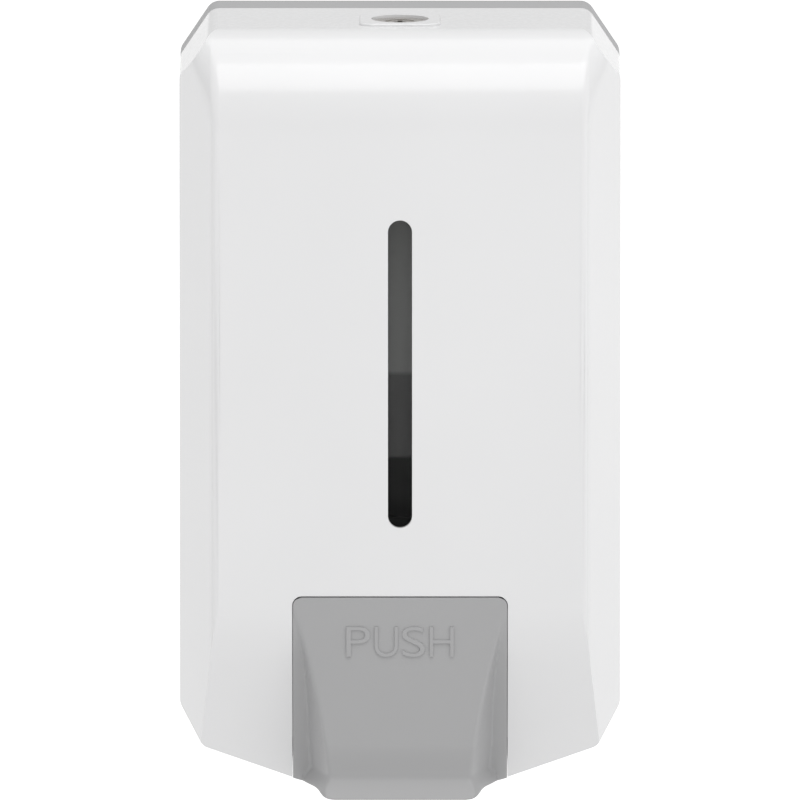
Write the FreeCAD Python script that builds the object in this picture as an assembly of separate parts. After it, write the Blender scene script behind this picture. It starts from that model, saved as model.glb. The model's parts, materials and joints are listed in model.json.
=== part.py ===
"""Wall mounted soap dispenser, push-lever type, in millimetres.

Frame: the wall is the plane y = 0 and the front of the dispenser faces -Y. +Z is up and +X is to the
right of someone who faces the dispenser. The origin is the centre of the four wall holes.
"""
import FreeCAD, Part
import math
import os
from FreeCAD import Vector

os.makedirs("parts", exist_ok=True)

# ---------------------------------------------------------------- driving dimensions: outer form
WIDTH = 125.0             # over the side walls
TOP_Z = 115.0             # top of the cover
BOTTOM_Z = -97.3          # underside of the cover
FRONT_Y = 85.5            # wall to front panel, at the knee
TOP_CHAMFER = (9.0, 13.4)     # width and height of the sloping top corners
LOW_CHAMFER = (6.8, 10.0)     # width and height of the steep lower corners
LOW_SLOPE_RISE = 9.3      # how far the underside rises from the lever to the lower corners
SHOULDER_Y = 60.0         # wall to the line where the side bevel starts
BEVEL_X = 9.5             # width of the side bevel, seen from the front
BEND_R = 27.0             # bend between the top and the front panel
MIN_BEND_R = 0.6          # the same bend, where the form is narrowest
PANEL_LEAN = 1.5          # the panel's upper end lies this much nearer the wall
CROWN = 0.4               # bulge of the front panel
KNEE_Z = -45.0            # where the panel starts to lean back
KNEE_R = 65.0
CHIN_ANGLE = 13.0         # degrees that the chin leans back
CREASE_DROP = (15.8, 18.9)    # crease below the knee, at the lever and at the bevel
CHEEK_SINK = 1.6          # cheek behind the chin's plane, at the lower corner
CHEEK_OVERLAP = 8.0       # how far the cheek runs in behind the lever
EDGE_R = 3.0              # round edge between panel and bevel
EDGE_STEPS = 5            # flat strips that make that edge
OUTLINE_R = 4.0           # round corners of the outline
OUTLINE_MIN_R = 0.8       # the same corners on an inner outline
WALL = 2.2                # cover wall

# ---------------------------------------------------------------- back plate
PLATE_T = 2.5
RIM_Y = 15.0              # wall to the rim's front edge
RIM_T = 2.4
SEAM = 0.3                # gap between rim and cover
LIP_REACH = 4.0           # inner lip that the cover closes over
LIP_T = 1.8
LIP_GAP = 0.45
HOLE_DX = 70.0            # wall hole spacing
HOLE_DZ = 120.0
HOLE_D = 5.0
HOLE_BOSS_D = 13.0
HOLE_BOSS_H = 1.2
PLATE_RIB_H = 2.5
PLATE_RIB_T = 2.0
PLATE_RIB_IN = 12.0       # rib's end to the side of the plate
PLATE_RIB_UP = (14.0, 3.0)    # lower rib above the hinge, upper rib above the reservoir

# ---------------------------------------------------------------- cover hinge
HINGE_Y = 17.0
HINGE_UP = 12.3           # hinge axis above the underside of the cover
HINGE_X = 38.5            # middle of each hinge
KNUCKLE_L = 6.4
KNUCKLE_R = 3.5
LUG_T = 3.0
HINGE_PIN_D = 3.0
HINGE_PIN_STICK = 0.6     # pin beyond its ears
LUG_H = 17.0              # ear above the hinge axis
LUG_FOOT_UP = 4.3
LUG_BEND = (1.7, 3.2)     # behind and above the round end: room for the cover's lower wall
LUG_HEEL = (0.2, 0.5)
LUG_SHOULDER = (2.4, 2.5)
RIM_FOOT_UP = 3.5         # rim's lower end above the hinge axis
SIDE_GAP = 0.3            # between moving flat faces
PIN_FIT = 0.05            # radial clearance of a turning pin

# ---------------------------------------------------------------- push lever
LEVER_W = 60.4
LEVER_TOP_Z = -43.8
LEVER_DROP = 3.3          # how far the tongue reaches below the cover
LEVER_GAP = 0.3
LEVER_CORNER_R = 2.4
LEVER_WALL = 2.2
LEVER_BACK_Y = 69.0       # rear edge of the lever's skirts
LEVER_PIVOT_Y = 74.0
LEVER_PIVOT_DROP = 3.2    # pivot below the lever's top edge
LEVER_PIN_D = 3.0
LEVER_PIN_REACH = 5.4     # pin into the cover's ear
LEVER_PIN_INNER = 2.6     # pin's inner end behind the skirt
PIN_BOSS_R = 4.0
PIN_BOSS_T = 1.6
EAR_GAP = 0.4             # opening to the ear beside it
EAR_T = 5.0
EAR_HALF = 5.0            # half height of the ear
TONGUE_OUT = 5.5          # how far the tongue stands out at its belly
TONGUE_BELLY_UP = 15.6    # belly above the lever's lower edge
LIP_OUT = 9.0             # how far the finger lip stands out
LIP_H = 6.2
LIP_EDGE = 1.2
WAIST_IN = 1.6            # waist behind the belly
WAIST_R = 4.0
BELLY_R = 14.0
PUSH_FACE_H = 10.0        # upper stretch of the push face, in line with the panel
FACE_RISE = 0.4           # push face before the panel, at that stretch's lower end
FACE_SINK = 0.05          # push face behind the panel, at its upper end
FLANK_SHARE = (0.95, 0.80, 0.65)  # flank's corners, as shares of the lever's half width
FLANK_SINK = 1.5          # flank's upper corner behind the panel
FLANK_DROP = 11.0         # flank's upper corner below the lever's top
FOOT_SHARE = 0.74         # half width of the lever's foot, as a share of the lever's
NOTCH_REAR_Y = 34.0       # rear end of the cover's opening for the lever

# ---------------------------------------------------------------- sight window
SLOT_W = 6.8
SLOT_TOP_Z = 63.9
SLOT_BOTTOM_Z = -23.9
WINDOW_T = 1.2
WINDOW_FLANGE = 3.2
WINDOW_POCKET = 0.6       # flat seat cut into the panel's back
WINDOW_GAP = 0.12
WINDOW_SINK = 1.6         # window face behind the panel at the knee
WINDOW_SEAT_IN = 0.9      # flat seat behind the curved back of the panel
WINDOW_FIT = 0.02
RETAINER_T = 1.6
RETAINER_LIP = 0.6        # retainer's opening wider than the slot
FRONT_RIB_X = 26.0        # upright ribs behind the panel
FRONT_RIB_T = 1.6
FRONT_RIB_H = 3.5
FRONT_RIB_ENDS = (12.0, 4.0)  # above the knee, below the reservoir's top

# ---------------------------------------------------------------- lock
LOCK_Y = 42.8
PAD_W = 23.0
PAD_H = 0.8
PAD_R = 4.0
PAD_EDGE_R = 0.48
LOCK_FACE_D = 16.0
LOCK_FACE_T = 1.6
LOCK_SINK = 0.8
LOCK_BARREL_D = 12.0
LOCK_PLUG_D = 8.0
LOCK_GAP = 0.15
LOCK_BARREL_DROP = 11.5   # cover top to the barrel's lower end
LOCK_CHAMFER = 0.3
PLUG_STICK = 1.0          # plug below the barrel
PLUG_SINK = 0.2           # plug's face below the lock's
PLUG_THREAD_L = 4.0
KEY_SLOT = (0.7, 2.6)     # half width and half length
KEY_WARD = (1.6, 0.5)     # half length and half width of the cross slot
KEY_DEPTH = 6.0
NUT_AF = 19.0
NUT_T = 3.0
CAM_T = 2.0
CAM_HUB_R = 7.0
CAM_ARM_W = 6.0
CAM_ARM_IN = 0.6          # arm's end inside the claw's outer edge
CAM_HEAD_T = 1.4
CAM_SCREW_IN = 3.5        # screw into the plug
CLAW_R = (20.5, 24.0)     # inner and outer radius of the claw
CLAW_SPAN = (-8.0, 35.0)  # degrees
STRIKER_R = (15.5, 19.5)
STRIKER_ANGLE = (107.0, 122.0)
STRIKER_T = 2.5
STRIKER_HEAD_GAP = 2.0    # shelf above the cam
STRIKER_X = (-15.6, 4.0)
STRIKER_FOOT = 11.0       # flange's lower end below the cam's top
STRIKER_SCREW_DROP = 7.0
STRIKER_SCREW_IN = 4.5
STRIKER_SHELF_IN = 13.2   # shelf's front end behind the lock's axis
POST_DROP = 0.8           # post's end below the cam
GUSSET_H = 10.0
GUSSET_SHARE = 0.55       # gusset's reach, as a share of the shelf's

# ---------------------------------------------------------------- reservoir and its bracket
TANK_W = 102.0
TANK_FRONT_Y = 76.0
TANK_BACK_Y = 8.0
TANK_TOP_Z = 84.0
TANK_BOTTOM_Z = -5.0
TANK_WALL = 1.8
TANK_R = 8.0
TANK_TOP_R = 12.0
PUMP_Y = 45.0             # wall to the pump axis
NECK_R = 15.0
NECK_BORE_R = 12.0
FUNNEL_H = 19.5
COLLAR_W = 40.0
COLLAR_T = 2.5
COLLAR_R = 4.0
FUNNEL_TOP_IN = 0.5       # funnel's upper edge inside the tank's walls
FUNNEL_FOOT_IN = 3.0      # funnel's foot inside the collar
NECK_BORE_UP = 3.0        # neck's bore above the funnel's foot
NECK_L = 11.0
MOUTH_W = 70.0
MOUTH_D = 32.0
MOUTH_H = 3.0
MOUTH_R = 5.0
LID_T = 2.0
LID_SEAL_T = 0.8
LID_GAP = 0.3
LID_SKIRT_GAP = 0.6       # lid's skirt above the tank
LID_EDGE_R = 1.2
LID_GRIP = (12.0, 1.0, 1.6)   # half length, half width and height
BRACKET_T = 2.5
BRACKET_W = 48.0
BRACKET_REACH_Y = 64.0
BRACKET_FLANGE_H = 20.0
BRACKET_SCREW_IN = 10.0
BRACKET_RIB_T = 2.0
BRACKET_RIB_IN = 10.0     # rib's front end behind the pump axis
BRACKET_PLAY = 0.6        # slot around the neck

# ---------------------------------------------------------------- pump
NUT_R = 19.0
NUT_WALL_GAP = 0.05
NUT_FLOOR_T = 2.5
NUT_TOP_GAP = 0.8         # nut below the bracket
NUT_EDGE_R = 1.5
NUT_HOLE_GAP = 0.3
NUT_GROOVES = 20
NUT_GROOVE_R = 1.1
NECK_SEAL_BORE_R = 7.4
NECK_SEAL_T = 1.5
PUMP_R = 11.0
PUMP_BORE_R = 8.0
PUMP_FLANGE_T = 2.0
SEAT_T = 2.5
BALL_R = 3.2
BALL_HOLE_R = 2.4
BALL_PLAY = 0.05
CAGE_DROP = 9.0           # seat to the valve cage
CAGE_T = 1.5
CAGE_HOLES = 6
CAGE_HOLE_R = 1.4
CAGE_HOLE_OUT = 5.4       # holes' centres from the axis
SPRING_TURNS = 3.0
SPRING_PLAY = 0.02        # spring to the faces that it rests against
INLET_WIRE_R = 0.34
INLET_COIL_R = 2.0
PUMP_WIRE_R = 0.35
PUMP_COIL_R = 5.6
CAP_T = 2.5
CAP_SPIGOT = 1.0
STEM_R = 4.0
STEM_BORE_R = 2.0
PISTON_T = 3.4
PISTON_GAP = 0.6
SEAL_T = 2.0
SEAL_GAP = 0.05
SEAL_W = 2.0
PISTON_REST = 8.6         # valve cage to the piston's top, at rest
PISTON_FOOT = 0.5         # piston to the end cap, at rest
LIFT_COLLAR_R = 14.0
LIFT_COLLAR_T = 2.5
LIFT_HUB_WALL = 2.0
LIFT_HUB_H = 1.0
LIFT_COLLAR_DROP = 7.6    # end cap to the collar's top, at rest
NOZZLE_L = 12.0           # collar to the stem's lower end
NOZZLE_R = 5.0
NOZZLE_UP = 7.0           # sleeve over the stem
NOZZLE_DROP = 2.5         # sleeve below the stem
NOZZLE_TIP = (3.0, 2.0)   # radius and height of the taper
NOZZLE_SLIT = (1.8, 0.2)  # half length and half width
FORK_ARM_X = 9.0
FORK_ARM_W = 3.0
FORK_TIP_R = 2.0
FORK_LEAD = 3.3           # fork tip ahead of the pump axis at rest
FORK_GAP = 0.3
FORK_FACE = 2.0           # fork's front face before the pivot
FORK_BAR_T = 2.4
FORK_BAR = (5.0, 3.0)     # bar below and above the tips' centre
FORK_ARM_UP = 0.8
FORK_SCREW_OUT = 4.0      # screw beside the arm
FORK_SCREW_DROP = 1.0
FORK_SCREW_L = 8.0
FORK_HEAD_D = 4.8
FORK_POST_R = 3.2
FORK_POST_ROOT = 0.8
FORK_POST_HOLE = 7.0

# ---------------------------------------------------------------- fasteners
SCREW_D = 3.0
SCREW_HEAD_D = 5.6
SCREW_HEAD_T = 2.0
SCREW_TIP = 0.3           # screw end short of the wall
SCREW_CROWN = 0.8
CROSS = (0.4, 1.5, 0.9)   # half width, half length and depth of the cross recess

# ---------------------------------------------------------------- derived places
HALF_W = WIDTH / 2.0
EDGE_X = HALF_W - BEVEL_X
COVER_REAR_Y = RIM_Y + SEAM
BEND_Y = FRONT_Y - PANEL_LEAN - BEND_R
HINGE_Z = BOTTOM_Z + HINGE_UP
LEVER_HALF = LEVER_W / 2.0
NOTCH_HALF = LEVER_HALF + LEVER_GAP
LEVER_BOTTOM_Z = BOTTOM_Z - LEVER_DROP
LEVER_PIVOT_Z = LEVER_TOP_Z - LEVER_PIVOT_DROP
RIM_LOW_Z = HINGE_Z + RIM_FOOT_UP
LEVER_REAR_Y = LEVER_PIVOT_Y + FORK_FACE
FORK_SCREW_X = (-FORK_ARM_X - FORK_SCREW_OUT, FORK_ARM_X + FORK_SCREW_OUT)

# ---------------------------------------------------------------- working sizes
BIG = 400.0
PAST = 10.0               # how far a cutting shape runs past what it cuts
ROOT = 0.5                # how far a joined piece reaches into its neighbour
TOUCH = 0.1
NEAR = 0.01
TINY = 1e-6


# ---------------------------------------------------------------- small builders
def box(x0, x1, y0, y1, z0, z1):
    """Block between two corners; depths y are given as distances from the wall."""
    return Part.makeBox(x1 - x0, y1 - y0, z1 - z0, Vector(x0, -y1, z0))


def rod_z(radius, x, depth, z0, z1):
    return Part.makeCylinder(radius, z1 - z0, Vector(x, -depth, z0), Vector(0, 0, 1))


def rod_x(radius, x0, x1, depth, z):
    return Part.makeCylinder(radius, x1 - x0, Vector(x0, -depth, z), Vector(1, 0, 0))


def rod_y(radius, x, depth0, depth1, z):
    return Part.makeCylinder(radius, depth1 - depth0, Vector(x, -depth0, z), Vector(0, -1, 0))


def polygon_face(points):
    return Part.Face(Part.makePolygon(points + [points[0]]))


def prism_x(outline, x0, x1):
    """Outline of (depth, z) points, swept along X."""
    return polygon_face([Vector(x0, -d, z) for d, z in outline]).extrude(Vector(x1 - x0, 0, 0))


def prism_y(outline, depth0, depth1):
    """Outline of (x, z) points, swept away from the wall."""
    return polygon_face([Vector(x, -depth0, z) for x, z in outline]).extrude(Vector(0, depth0 - depth1, 0))


def prism_z(outline, z0, z1):
    """Outline of (x, depth) points, swept upwards."""
    return polygon_face([Vector(x, -d, z0) for x, d in outline]).extrude(Vector(0, 0, z1 - z0))


def both_sides(shape):
    """The shape and its mirror image, as a list."""
    return [shape, shape.mirror(Vector(0, 0, 0), Vector(1, 0, 0))]


def around(count):
    """Angles of evenly spaced places on a full circle."""
    return [2.0 * math.pi * i / count for i in range(count)]


def joined(shapes):
    return shapes[0].multiFuse(shapes[1:]).removeSplitter()


def round_edges(shape, radius, axis, wanted=lambda centre: True):
    """Fillet the straight edges that run along an axis and whose middle is wanted."""
    chosen = []
    for edge in shape.Edges:
        if len(edge.Vertexes) != 2:
            continue
        way = edge.Vertexes[1].Point - edge.Vertexes[0].Point
        straight = isinstance(edge.Curve, Part.Line) and way.Length > TINY
        if straight and abs(abs(way.normalize().dot(axis)) - 1.0) < TINY and wanted(edge.CenterOfMass):
            chosen.append(edge)
    return shape.makeFillet(radius, chosen)


def inset_polygon(points, inset):
    """A closed counter-clockwise polygon with every side moved inwards."""
    moved = []
    count = len(points)
    for i in range(count):
        (ax, ay), (bx, by), (cx, cy) = points[i - 1], points[i], points[(i + 1) % count]
        first = math.hypot(bx - ax, by - ay)
        second = math.hypot(cx - bx, cy - by)
        n1 = (-(by - ay) / first, (bx - ax) / first)
        n2 = (-(cy - by) / second, (cx - bx) / second)
        scale = inset / (1.0 + n1[0] * n2[0] + n1[1] * n2[1])
        moved.append((bx + (n1[0] + n2[0]) * scale, by + (n1[1] + n2[1]) * scale))
    return moved


def half_space(point, normal):
    """Everything on the side of a plane that its normal points to, as a large block."""
    block = Part.makeBox(BIG, BIG, BIG, Vector(-BIG / 2, -BIG / 2, 0))
    block.Placement = FreeCAD.Placement(point, FreeCAD.Rotation(Vector(0, 0, 1), normal))
    return block


def plane_through(a, b, c, outward):
    """A point and the normal of the plane through three points, turned to the outward side."""
    normal = (b - a).cross(c - a).normalize()
    if normal.dot(outward) < 0:
        normal = normal * -1.0
    return a, normal


def save(name, shape):
    if isinstance(shape, list):
        shape = Part.makeCompound(shape)
    if not shape.isValid():
        raise ValueError(name + " is not a valid shape")
    shape.exportStep("parts/" + name + ".step")
    print("%-18s solids %d  volume %8.1f" % (name, len(shape.Solids), shape.Volume))


# ---------------------------------------------------------------- the outer form
def outline(inset, lever=False):
    """The dispenser seen from the front, counter-clockwise from the lower right."""
    low_z = BOTTOM_Z + LOW_SLOPE_RISE
    right = [
        (HALF_W - LOW_CHAMFER[0], low_z),
        (HALF_W, low_z + LOW_CHAMFER[1]),
        (HALF_W, TOP_Z - TOP_CHAMFER[1]),
        (HALF_W - TOP_CHAMFER[0], TOP_Z),
    ]
    foot = [(NOTCH_HALF, BOTTOM_Z)]
    if lever:
        foot = [(LEVER_HALF * FOOT_SHARE, LEVER_BOTTOM_Z)] + foot
    right = foot + right
    left = [(-x, z) for x, z in reversed(right)]
    return inset_polygon(right + left, inset)


def outline_prism(inset, depth0, depth1, lever=False):
    solid = prism_y(outline(inset, lever), depth0, depth1)
    radius = max(OUTLINE_R - inset, OUTLINE_MIN_R)
    y_axis = Vector(0, 1, 0)
    return round_edges(solid, radius, y_axis, lambda c: abs(c.x) > NOTCH_HALF + 1.0)


def bevel_plan(inset):
    """Corner points of one side in plan: (x, depth) where the panel ends and where the side starts."""
    full = [(-HALF_W, 0.0), (-HALF_W, SHOULDER_Y), (-EDGE_X, FRONT_Y), (EDGE_X, FRONT_Y),
            (HALF_W, SHOULDER_Y), (HALF_W, 0.0)]
    clockwise = list(reversed(full))
    moved = list(reversed(inset_polygon(clockwise, inset)))
    return moved[3], moved[4]


def bevel_sections(inset):
    """(x, depth) stations from the panel, round the edge, to the side wall."""
    edge, side = bevel_plan(inset)
    if inset > 0:
        return [edge, side]
    turn = math.atan2(edge[1] - side[1], side[0] - edge[0])
    tangent = EDGE_R * math.tan(turn / 2.0)
    stations = []
    for i in range(EDGE_STEPS + 1):
        a = turn * i / EDGE_STEPS
        x = edge[0] - tangent + EDGE_R * math.sin(a)
        stations.append((x, edge[1] - EDGE_R * (1.0 - math.cos(a))))
    return stations + [side]


def upper_section(x, depth, inset):
    """Closed side profile in the plane x, whose panel lies at the given depth at the knee."""
    radius = max(depth - PANEL_LEAN - BEND_Y, MIN_BEND_R)
    top = TOP_Z - inset
    bend_d = BEND_Y + radius
    a = Vector(x, -BEND_Y, top)
    corner = math.sqrt(0.5)
    middle = Vector(x, -(BEND_Y + radius * corner), top - radius * (1.0 - corner))
    b = Vector(x, -bend_d, top - radius)
    crown = Vector(x, -((bend_d + depth) / 2.0 + CROWN), (b.z + KNEE_Z) / 2.0)
    c = Vector(x, -depth, KNEE_Z)
    rear_low = Vector(x, 0, KNEE_Z)
    rear_top = Vector(x, 0, top)
    edges = [
        Part.makeLine(rear_low, rear_top),
        Part.makeLine(rear_top, a),
        Part.Arc(a, middle, b).toShape(),
        Part.Arc(b, crown, c).toShape(),
        Part.makeLine(c, rear_low),
    ]
    return Part.Wire(edges)


def upper_block(inset):
    """The form above the knee: a straight middle with a ruled bevel on each side."""
    stations = bevel_sections(inset)
    first = stations[0]
    centre = Part.Face(upper_section(-first[0], first[1], inset)).extrude(Vector(2 * first[0], 0, 0))
    wires = [upper_section(x, depth, inset) for x, depth in stations]
    side = Part.makeLoft(wires, True, True)
    return [centre] + both_sides(side)


def chin_profile(inset, low_z):
    """Side profile below the knee: round knee, then the chin that leans back."""
    angle = math.radians(CHIN_ANGLE)
    front = FRONT_Y - inset
    radius = KNEE_R - inset
    half = angle / 2.0
    end_d = front - radius * (1.0 - math.cos(angle))
    end_z = KNEE_Z - radius * math.sin(angle)
    mid = Vector(0, -(front - radius * (1.0 - math.cos(half))), KNEE_Z - radius * math.sin(half))
    low_d = end_d - (end_z - low_z) * math.tan(angle)
    p = [Vector(0, 0, KNEE_Z), Vector(0, -front, KNEE_Z), Vector(0, -end_d, end_z),
         Vector(0, -low_d, low_z), Vector(0, 0, low_z)]
    return Part.Wire([Part.makeLine(p[0], p[1]), Part.Arc(p[1], mid, p[2]).toShape(),
                      Part.makeLine(p[2], p[3]), Part.makeLine(p[3], p[4]), Part.makeLine(p[4], p[0])])


def chin_depth(z):
    """Depth of the chin's outer face at a height below the knee's end."""
    angle = math.radians(CHIN_ANGLE)
    end_z = KNEE_Z - KNEE_R * math.sin(angle)
    return FRONT_Y - KNEE_R * (1.0 - math.cos(angle)) - (end_z - z) * math.tan(angle)


def lower_block(inset):
    profile = Part.Face(chin_profile(inset, LEVER_BOTTOM_Z - PAST)).extrude(Vector(2 * WIDTH, 0, 0))
    profile.translate(Vector(-WIDTH, 0, 0))
    right = bevel_sections(inset) + [(bevel_plan(inset)[1][0], 0.0)]
    plan = right + [(-x, d) for x, d in reversed(right)]
    return profile.common(prism_z(plan, LEVER_BOTTOM_Z - PAST, KNEE_Z))


def cheek_planes(inset):
    """The two faces below the crease, where the chin's cheeks turn a little to the sides."""
    inner_z = KNEE_Z - CREASE_DROP[0]
    outer_z = KNEE_Z - CREASE_DROP[1]
    inner = Vector(NOTCH_HALF, -chin_depth(inner_z), inner_z)
    outer = Vector(EDGE_X, -chin_depth(outer_z), outer_z)
    low_z = BOTTOM_Z + LOW_SLOPE_RISE
    foot = Vector(EDGE_X, -(chin_depth(low_z) - CHEEK_SINK), low_z)
    point, normal = plane_through(inner, outer, foot, Vector(0, -1, 0))
    block = half_space(point - normal * inset, normal)
    keep = box(NOTCH_HALF - CHEEK_OVERLAP, BIG, 0, BIG, -BIG, KNEE_Z)
    return both_sides(block.common(keep))


def form(inset, rear, lever=False):
    """The whole outer form, moved inwards by an inset, from a rear depth to the front."""
    blocks = upper_block(inset) + [lower_block(inset)]
    solid = joined(blocks)
    solid = solid.common(outline_prism(inset, rear, FRONT_Y + 2 * PAST, lever))
    return solid.cut(Part.makeCompound(cheek_planes(inset)))


# ---------------------------------------------------------------- back plate
def wall_holes(radius, depth0, depth1):
    holes = []
    for x in (-HOLE_DX / 2.0, HOLE_DX / 2.0):
        for z in (-HOLE_DZ / 2.0, HOLE_DZ / 2.0):
            holes.append(rod_y(radius, x, depth0, depth1, z))
    return holes


def hinge_lug(x0, x1):
    """One ear of the plate that carries a hinge pin; its underside clears the swinging cover."""
    top = HINGE_Z + LUG_H
    arm = prism_x([
        (ROOT, HINGE_Z + LUG_FOOT_UP),
        (HINGE_Y - KNUCKLE_R - LUG_BEND[0], HINGE_Z + LUG_BEND[1]),
        (HINGE_Y - KNUCKLE_R + LUG_HEEL[0], HINGE_Z - LUG_HEEL[1]),
        (HINGE_Y + LUG_SHOULDER[0], HINGE_Z + LUG_SHOULDER[1]),
        (PLATE_T, top),
        (ROOT, top),
    ], x0, x1)
    return arm.fuse(rod_x(KNUCKLE_R, x0, x1, HINGE_Y, HINGE_Z))


def lug_places():
    """Left and right ear of one hinge, as spans of x."""
    inner = HINGE_X - KNUCKLE_L / 2.0 - SIDE_GAP
    outer = HINGE_X + KNUCKLE_L / 2.0 + SIDE_GAP
    return [(inner - LUG_T, inner), (outer, outer + LUG_T)]


def back_plate():
    base = outline_prism(0.0, 0.0, PLATE_T)
    above = box(-BIG, BIG, 0, BIG, RIM_LOW_Z, BIG)
    rim = outline_prism(0.0, PLATE_T - ROOT, RIM_Y).cut(outline_prism(RIM_T, 0, RIM_Y + 1)).common(above)
    lip_outside = WALL + LIP_GAP
    lip = outline_prism(lip_outside, PLATE_T - ROOT, RIM_Y + LIP_REACH)
    lip = lip.cut(outline_prism(lip_outside + LIP_T, 0, RIM_Y + LIP_REACH + 1)).common(above)
    bosses = wall_holes(HOLE_BOSS_D / 2.0, PLATE_T - ROOT, PLATE_T + HOLE_BOSS_H)
    lugs = []
    for x0, x1 in lug_places():
        lugs += both_sides(hinge_lug(x0, x1))
    half = HALF_W - PLATE_RIB_IN
    ribs = [box(-half, half, PLATE_T - ROOT, PLATE_T + PLATE_RIB_H, z, z + PLATE_RIB_T)
            for z in (HINGE_Z + PLATE_RIB_UP[0], TANK_TOP_Z + PLATE_RIB_UP[1])]
    solid = joined([base, rim, lip] + bosses + lugs + ribs)
    cuts = wall_holes(HOLE_D / 2.0, -1.0, PLATE_T + HOLE_BOSS_H + 1)
    for x0, x1 in lug_places():
        cuts += both_sides(rod_x(HINGE_PIN_D / 2.0, x0 - TOUCH, x1 + TOUCH, HINGE_Y, HINGE_Z))
    cuts += [rod_y(SCREW_D / 2.0, x, -1.0, PLATE_T + PAST, z) for x, z in bracket_screw_places()]
    cuts += [rod_y(SCREW_D / 2.0, x, -1.0, PLATE_T + PAST, z) for x, z in striker_screw_places()]
    return solid.cut(Part.makeCompound(cuts))


def hinge_pins():
    places = lug_places()
    x0 = places[0][0] - HINGE_PIN_STICK
    pin = rod_x(HINGE_PIN_D / 2.0, x0, places[1][1] + HINGE_PIN_STICK, HINGE_Y, HINGE_Z)
    return both_sides(pin)


# ---------------------------------------------------------------- front cover
def slot_outline(grow, depth0, depth1):
    """Round-ended upright slot of the sight window, widened all round."""
    r = SLOT_W / 2.0 + grow
    low = SLOT_BOTTOM_Z + SLOT_W / 2.0
    high = SLOT_TOP_Z - SLOT_W / 2.0
    middle = box(-r, r, depth0, depth1, low, high)
    return joined([middle, rod_y(r, 0, depth0, depth1, low), rod_y(r, 0, depth0, depth1, high)])


def window_seat_y():
    """Depth of the flat seat behind the front panel, which the window's flange lies against."""
    return FRONT_Y - WALL + WINDOW_POCKET - WINDOW_SEAT_IN


def lever_notch():
    """Opening in the cover's front and underside, in which the lever hangs."""
    top = LEVER_TOP_Z + LEVER_GAP
    block = box(-NOTCH_HALF, NOTCH_HALF, NOTCH_REAR_Y, BIG, BOTTOM_Z - 2 * PAST, top)
    radius = LEVER_CORNER_R + LEVER_GAP
    return round_edges(block, radius, Vector(0, 1, 0), lambda c: c.z > top - 1.0)


def pivot_bosses():
    """Ears behind the panel, on each side of the opening, that hold the lever's pins."""
    x0 = NOTCH_HALF + EAR_GAP
    ear = box(x0, x0 + EAR_T, LEVER_PIVOT_Y - EAR_HALF, FRONT_Y,
              LEVER_PIVOT_Z - EAR_HALF, LEVER_PIVOT_Z + EAR_HALF)
    return both_sides(ear)


def cover_knuckles():
    x0 = HINGE_X - KNUCKLE_L / 2.0
    x1 = HINGE_X + KNUCKLE_L / 2.0
    web = box(x0, x1, HINGE_Y, HINGE_Y + KNUCKLE_R, BOTTOM_Z + WALL / 2.0, HINGE_Z)
    return both_sides(web.fuse(rod_x(KNUCKLE_R, x0, x1, HINGE_Y, HINGE_Z)))


def lock_pad():
    """Low square pad on top of the cover, with its thicker seat below the wall."""
    half = PAD_W / 2.0
    pad = box(-half, half, LOCK_Y - half, LOCK_Y + half, TOP_Z - WALL, TOP_Z + PAD_H)
    pad = round_edges(pad, PAD_R, Vector(0, 0, 1))
    top = TOP_Z + PAD_H
    rim = [e for e in pad.Edges if e.BoundBox.ZMin > top - NEAR]
    return pad.makeFillet(PAD_EDGE_R, rim)


def stiffening_ribs():
    """Upright ribs inside the front panel, on each side of the window."""
    seat = FRONT_Y - WALL
    low = KNEE_Z + FRONT_RIB_ENDS[0]
    high = TANK_TOP_Z - FRONT_RIB_ENDS[1]
    rib = box(FRONT_RIB_X, FRONT_RIB_X + FRONT_RIB_T, seat - FRONT_RIB_H, seat + ROOT, low, high)
    return both_sides(rib)


def front_cover():
    shell = form(0.0, COVER_REAR_Y).cut(form(WALL, COVER_REAR_Y - PAST))
    inner_stuff = pivot_bosses() + cover_knuckles() + stiffening_ribs()
    inside = form(WALL / 2.0, COVER_REAR_Y - PAST)
    kept = [piece.common(inside) for piece in inner_stuff]
    solid = joined([shell, lock_pad()] + kept)
    face_r = LOCK_FACE_D / 2.0 + LOCK_GAP
    barrel_r = LOCK_BARREL_D / 2.0 + LOCK_GAP
    ledge = lock_ledge_z()
    x0 = HINGE_X - KNUCKLE_L / 2.0
    cuts = [
        lever_notch(),
        slot_outline(0.0, FRONT_Y - PAST, FRONT_Y + PAST),
        window_pocket(),
        rod_z(face_r, 0, LOCK_Y, ledge, TOP_Z + PAST),
        rod_z(barrel_r, 0, LOCK_Y, TOP_Z - PAST, ledge + TOUCH),
    ]
    cuts += both_sides(rod_x(HINGE_PIN_D / 2.0 + PIN_FIT, x0 - 1, x0 + KNUCKLE_L + 1, HINGE_Y, HINGE_Z))
    cuts += lever_pin_holes(LEVER_PIN_D / 2.0, NOTCH_HALF, NOTCH_HALF + LEVER_PIN_REACH + TOUCH)
    return solid.cut(Part.makeCompound(cuts))


# ---------------------------------------------------------------- sight window
def window_span(grow):
    return SLOT_BOTTOM_Z - grow, SLOT_TOP_Z + grow


def window_pocket():
    half = SLOT_W / 2.0 + WINDOW_FLANGE + WINDOW_GAP
    low, high = window_span(WINDOW_FLANGE + WINDOW_GAP)
    return box(-half, half, FRONT_Y - PAST, window_seat_y(), low, high)


def sight_window():
    half = SLOT_W / 2.0 + WINDOW_FLANGE
    low, high = window_span(WINDOW_FLANGE)
    seat = window_seat_y() - WINDOW_FIT
    flange = box(-half, half, seat - WINDOW_T, seat, low, high)
    raised = slot_outline(-WINDOW_GAP, seat - TOUCH, FRONT_Y - WINDOW_SINK)
    return joined([flange, raised])


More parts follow.
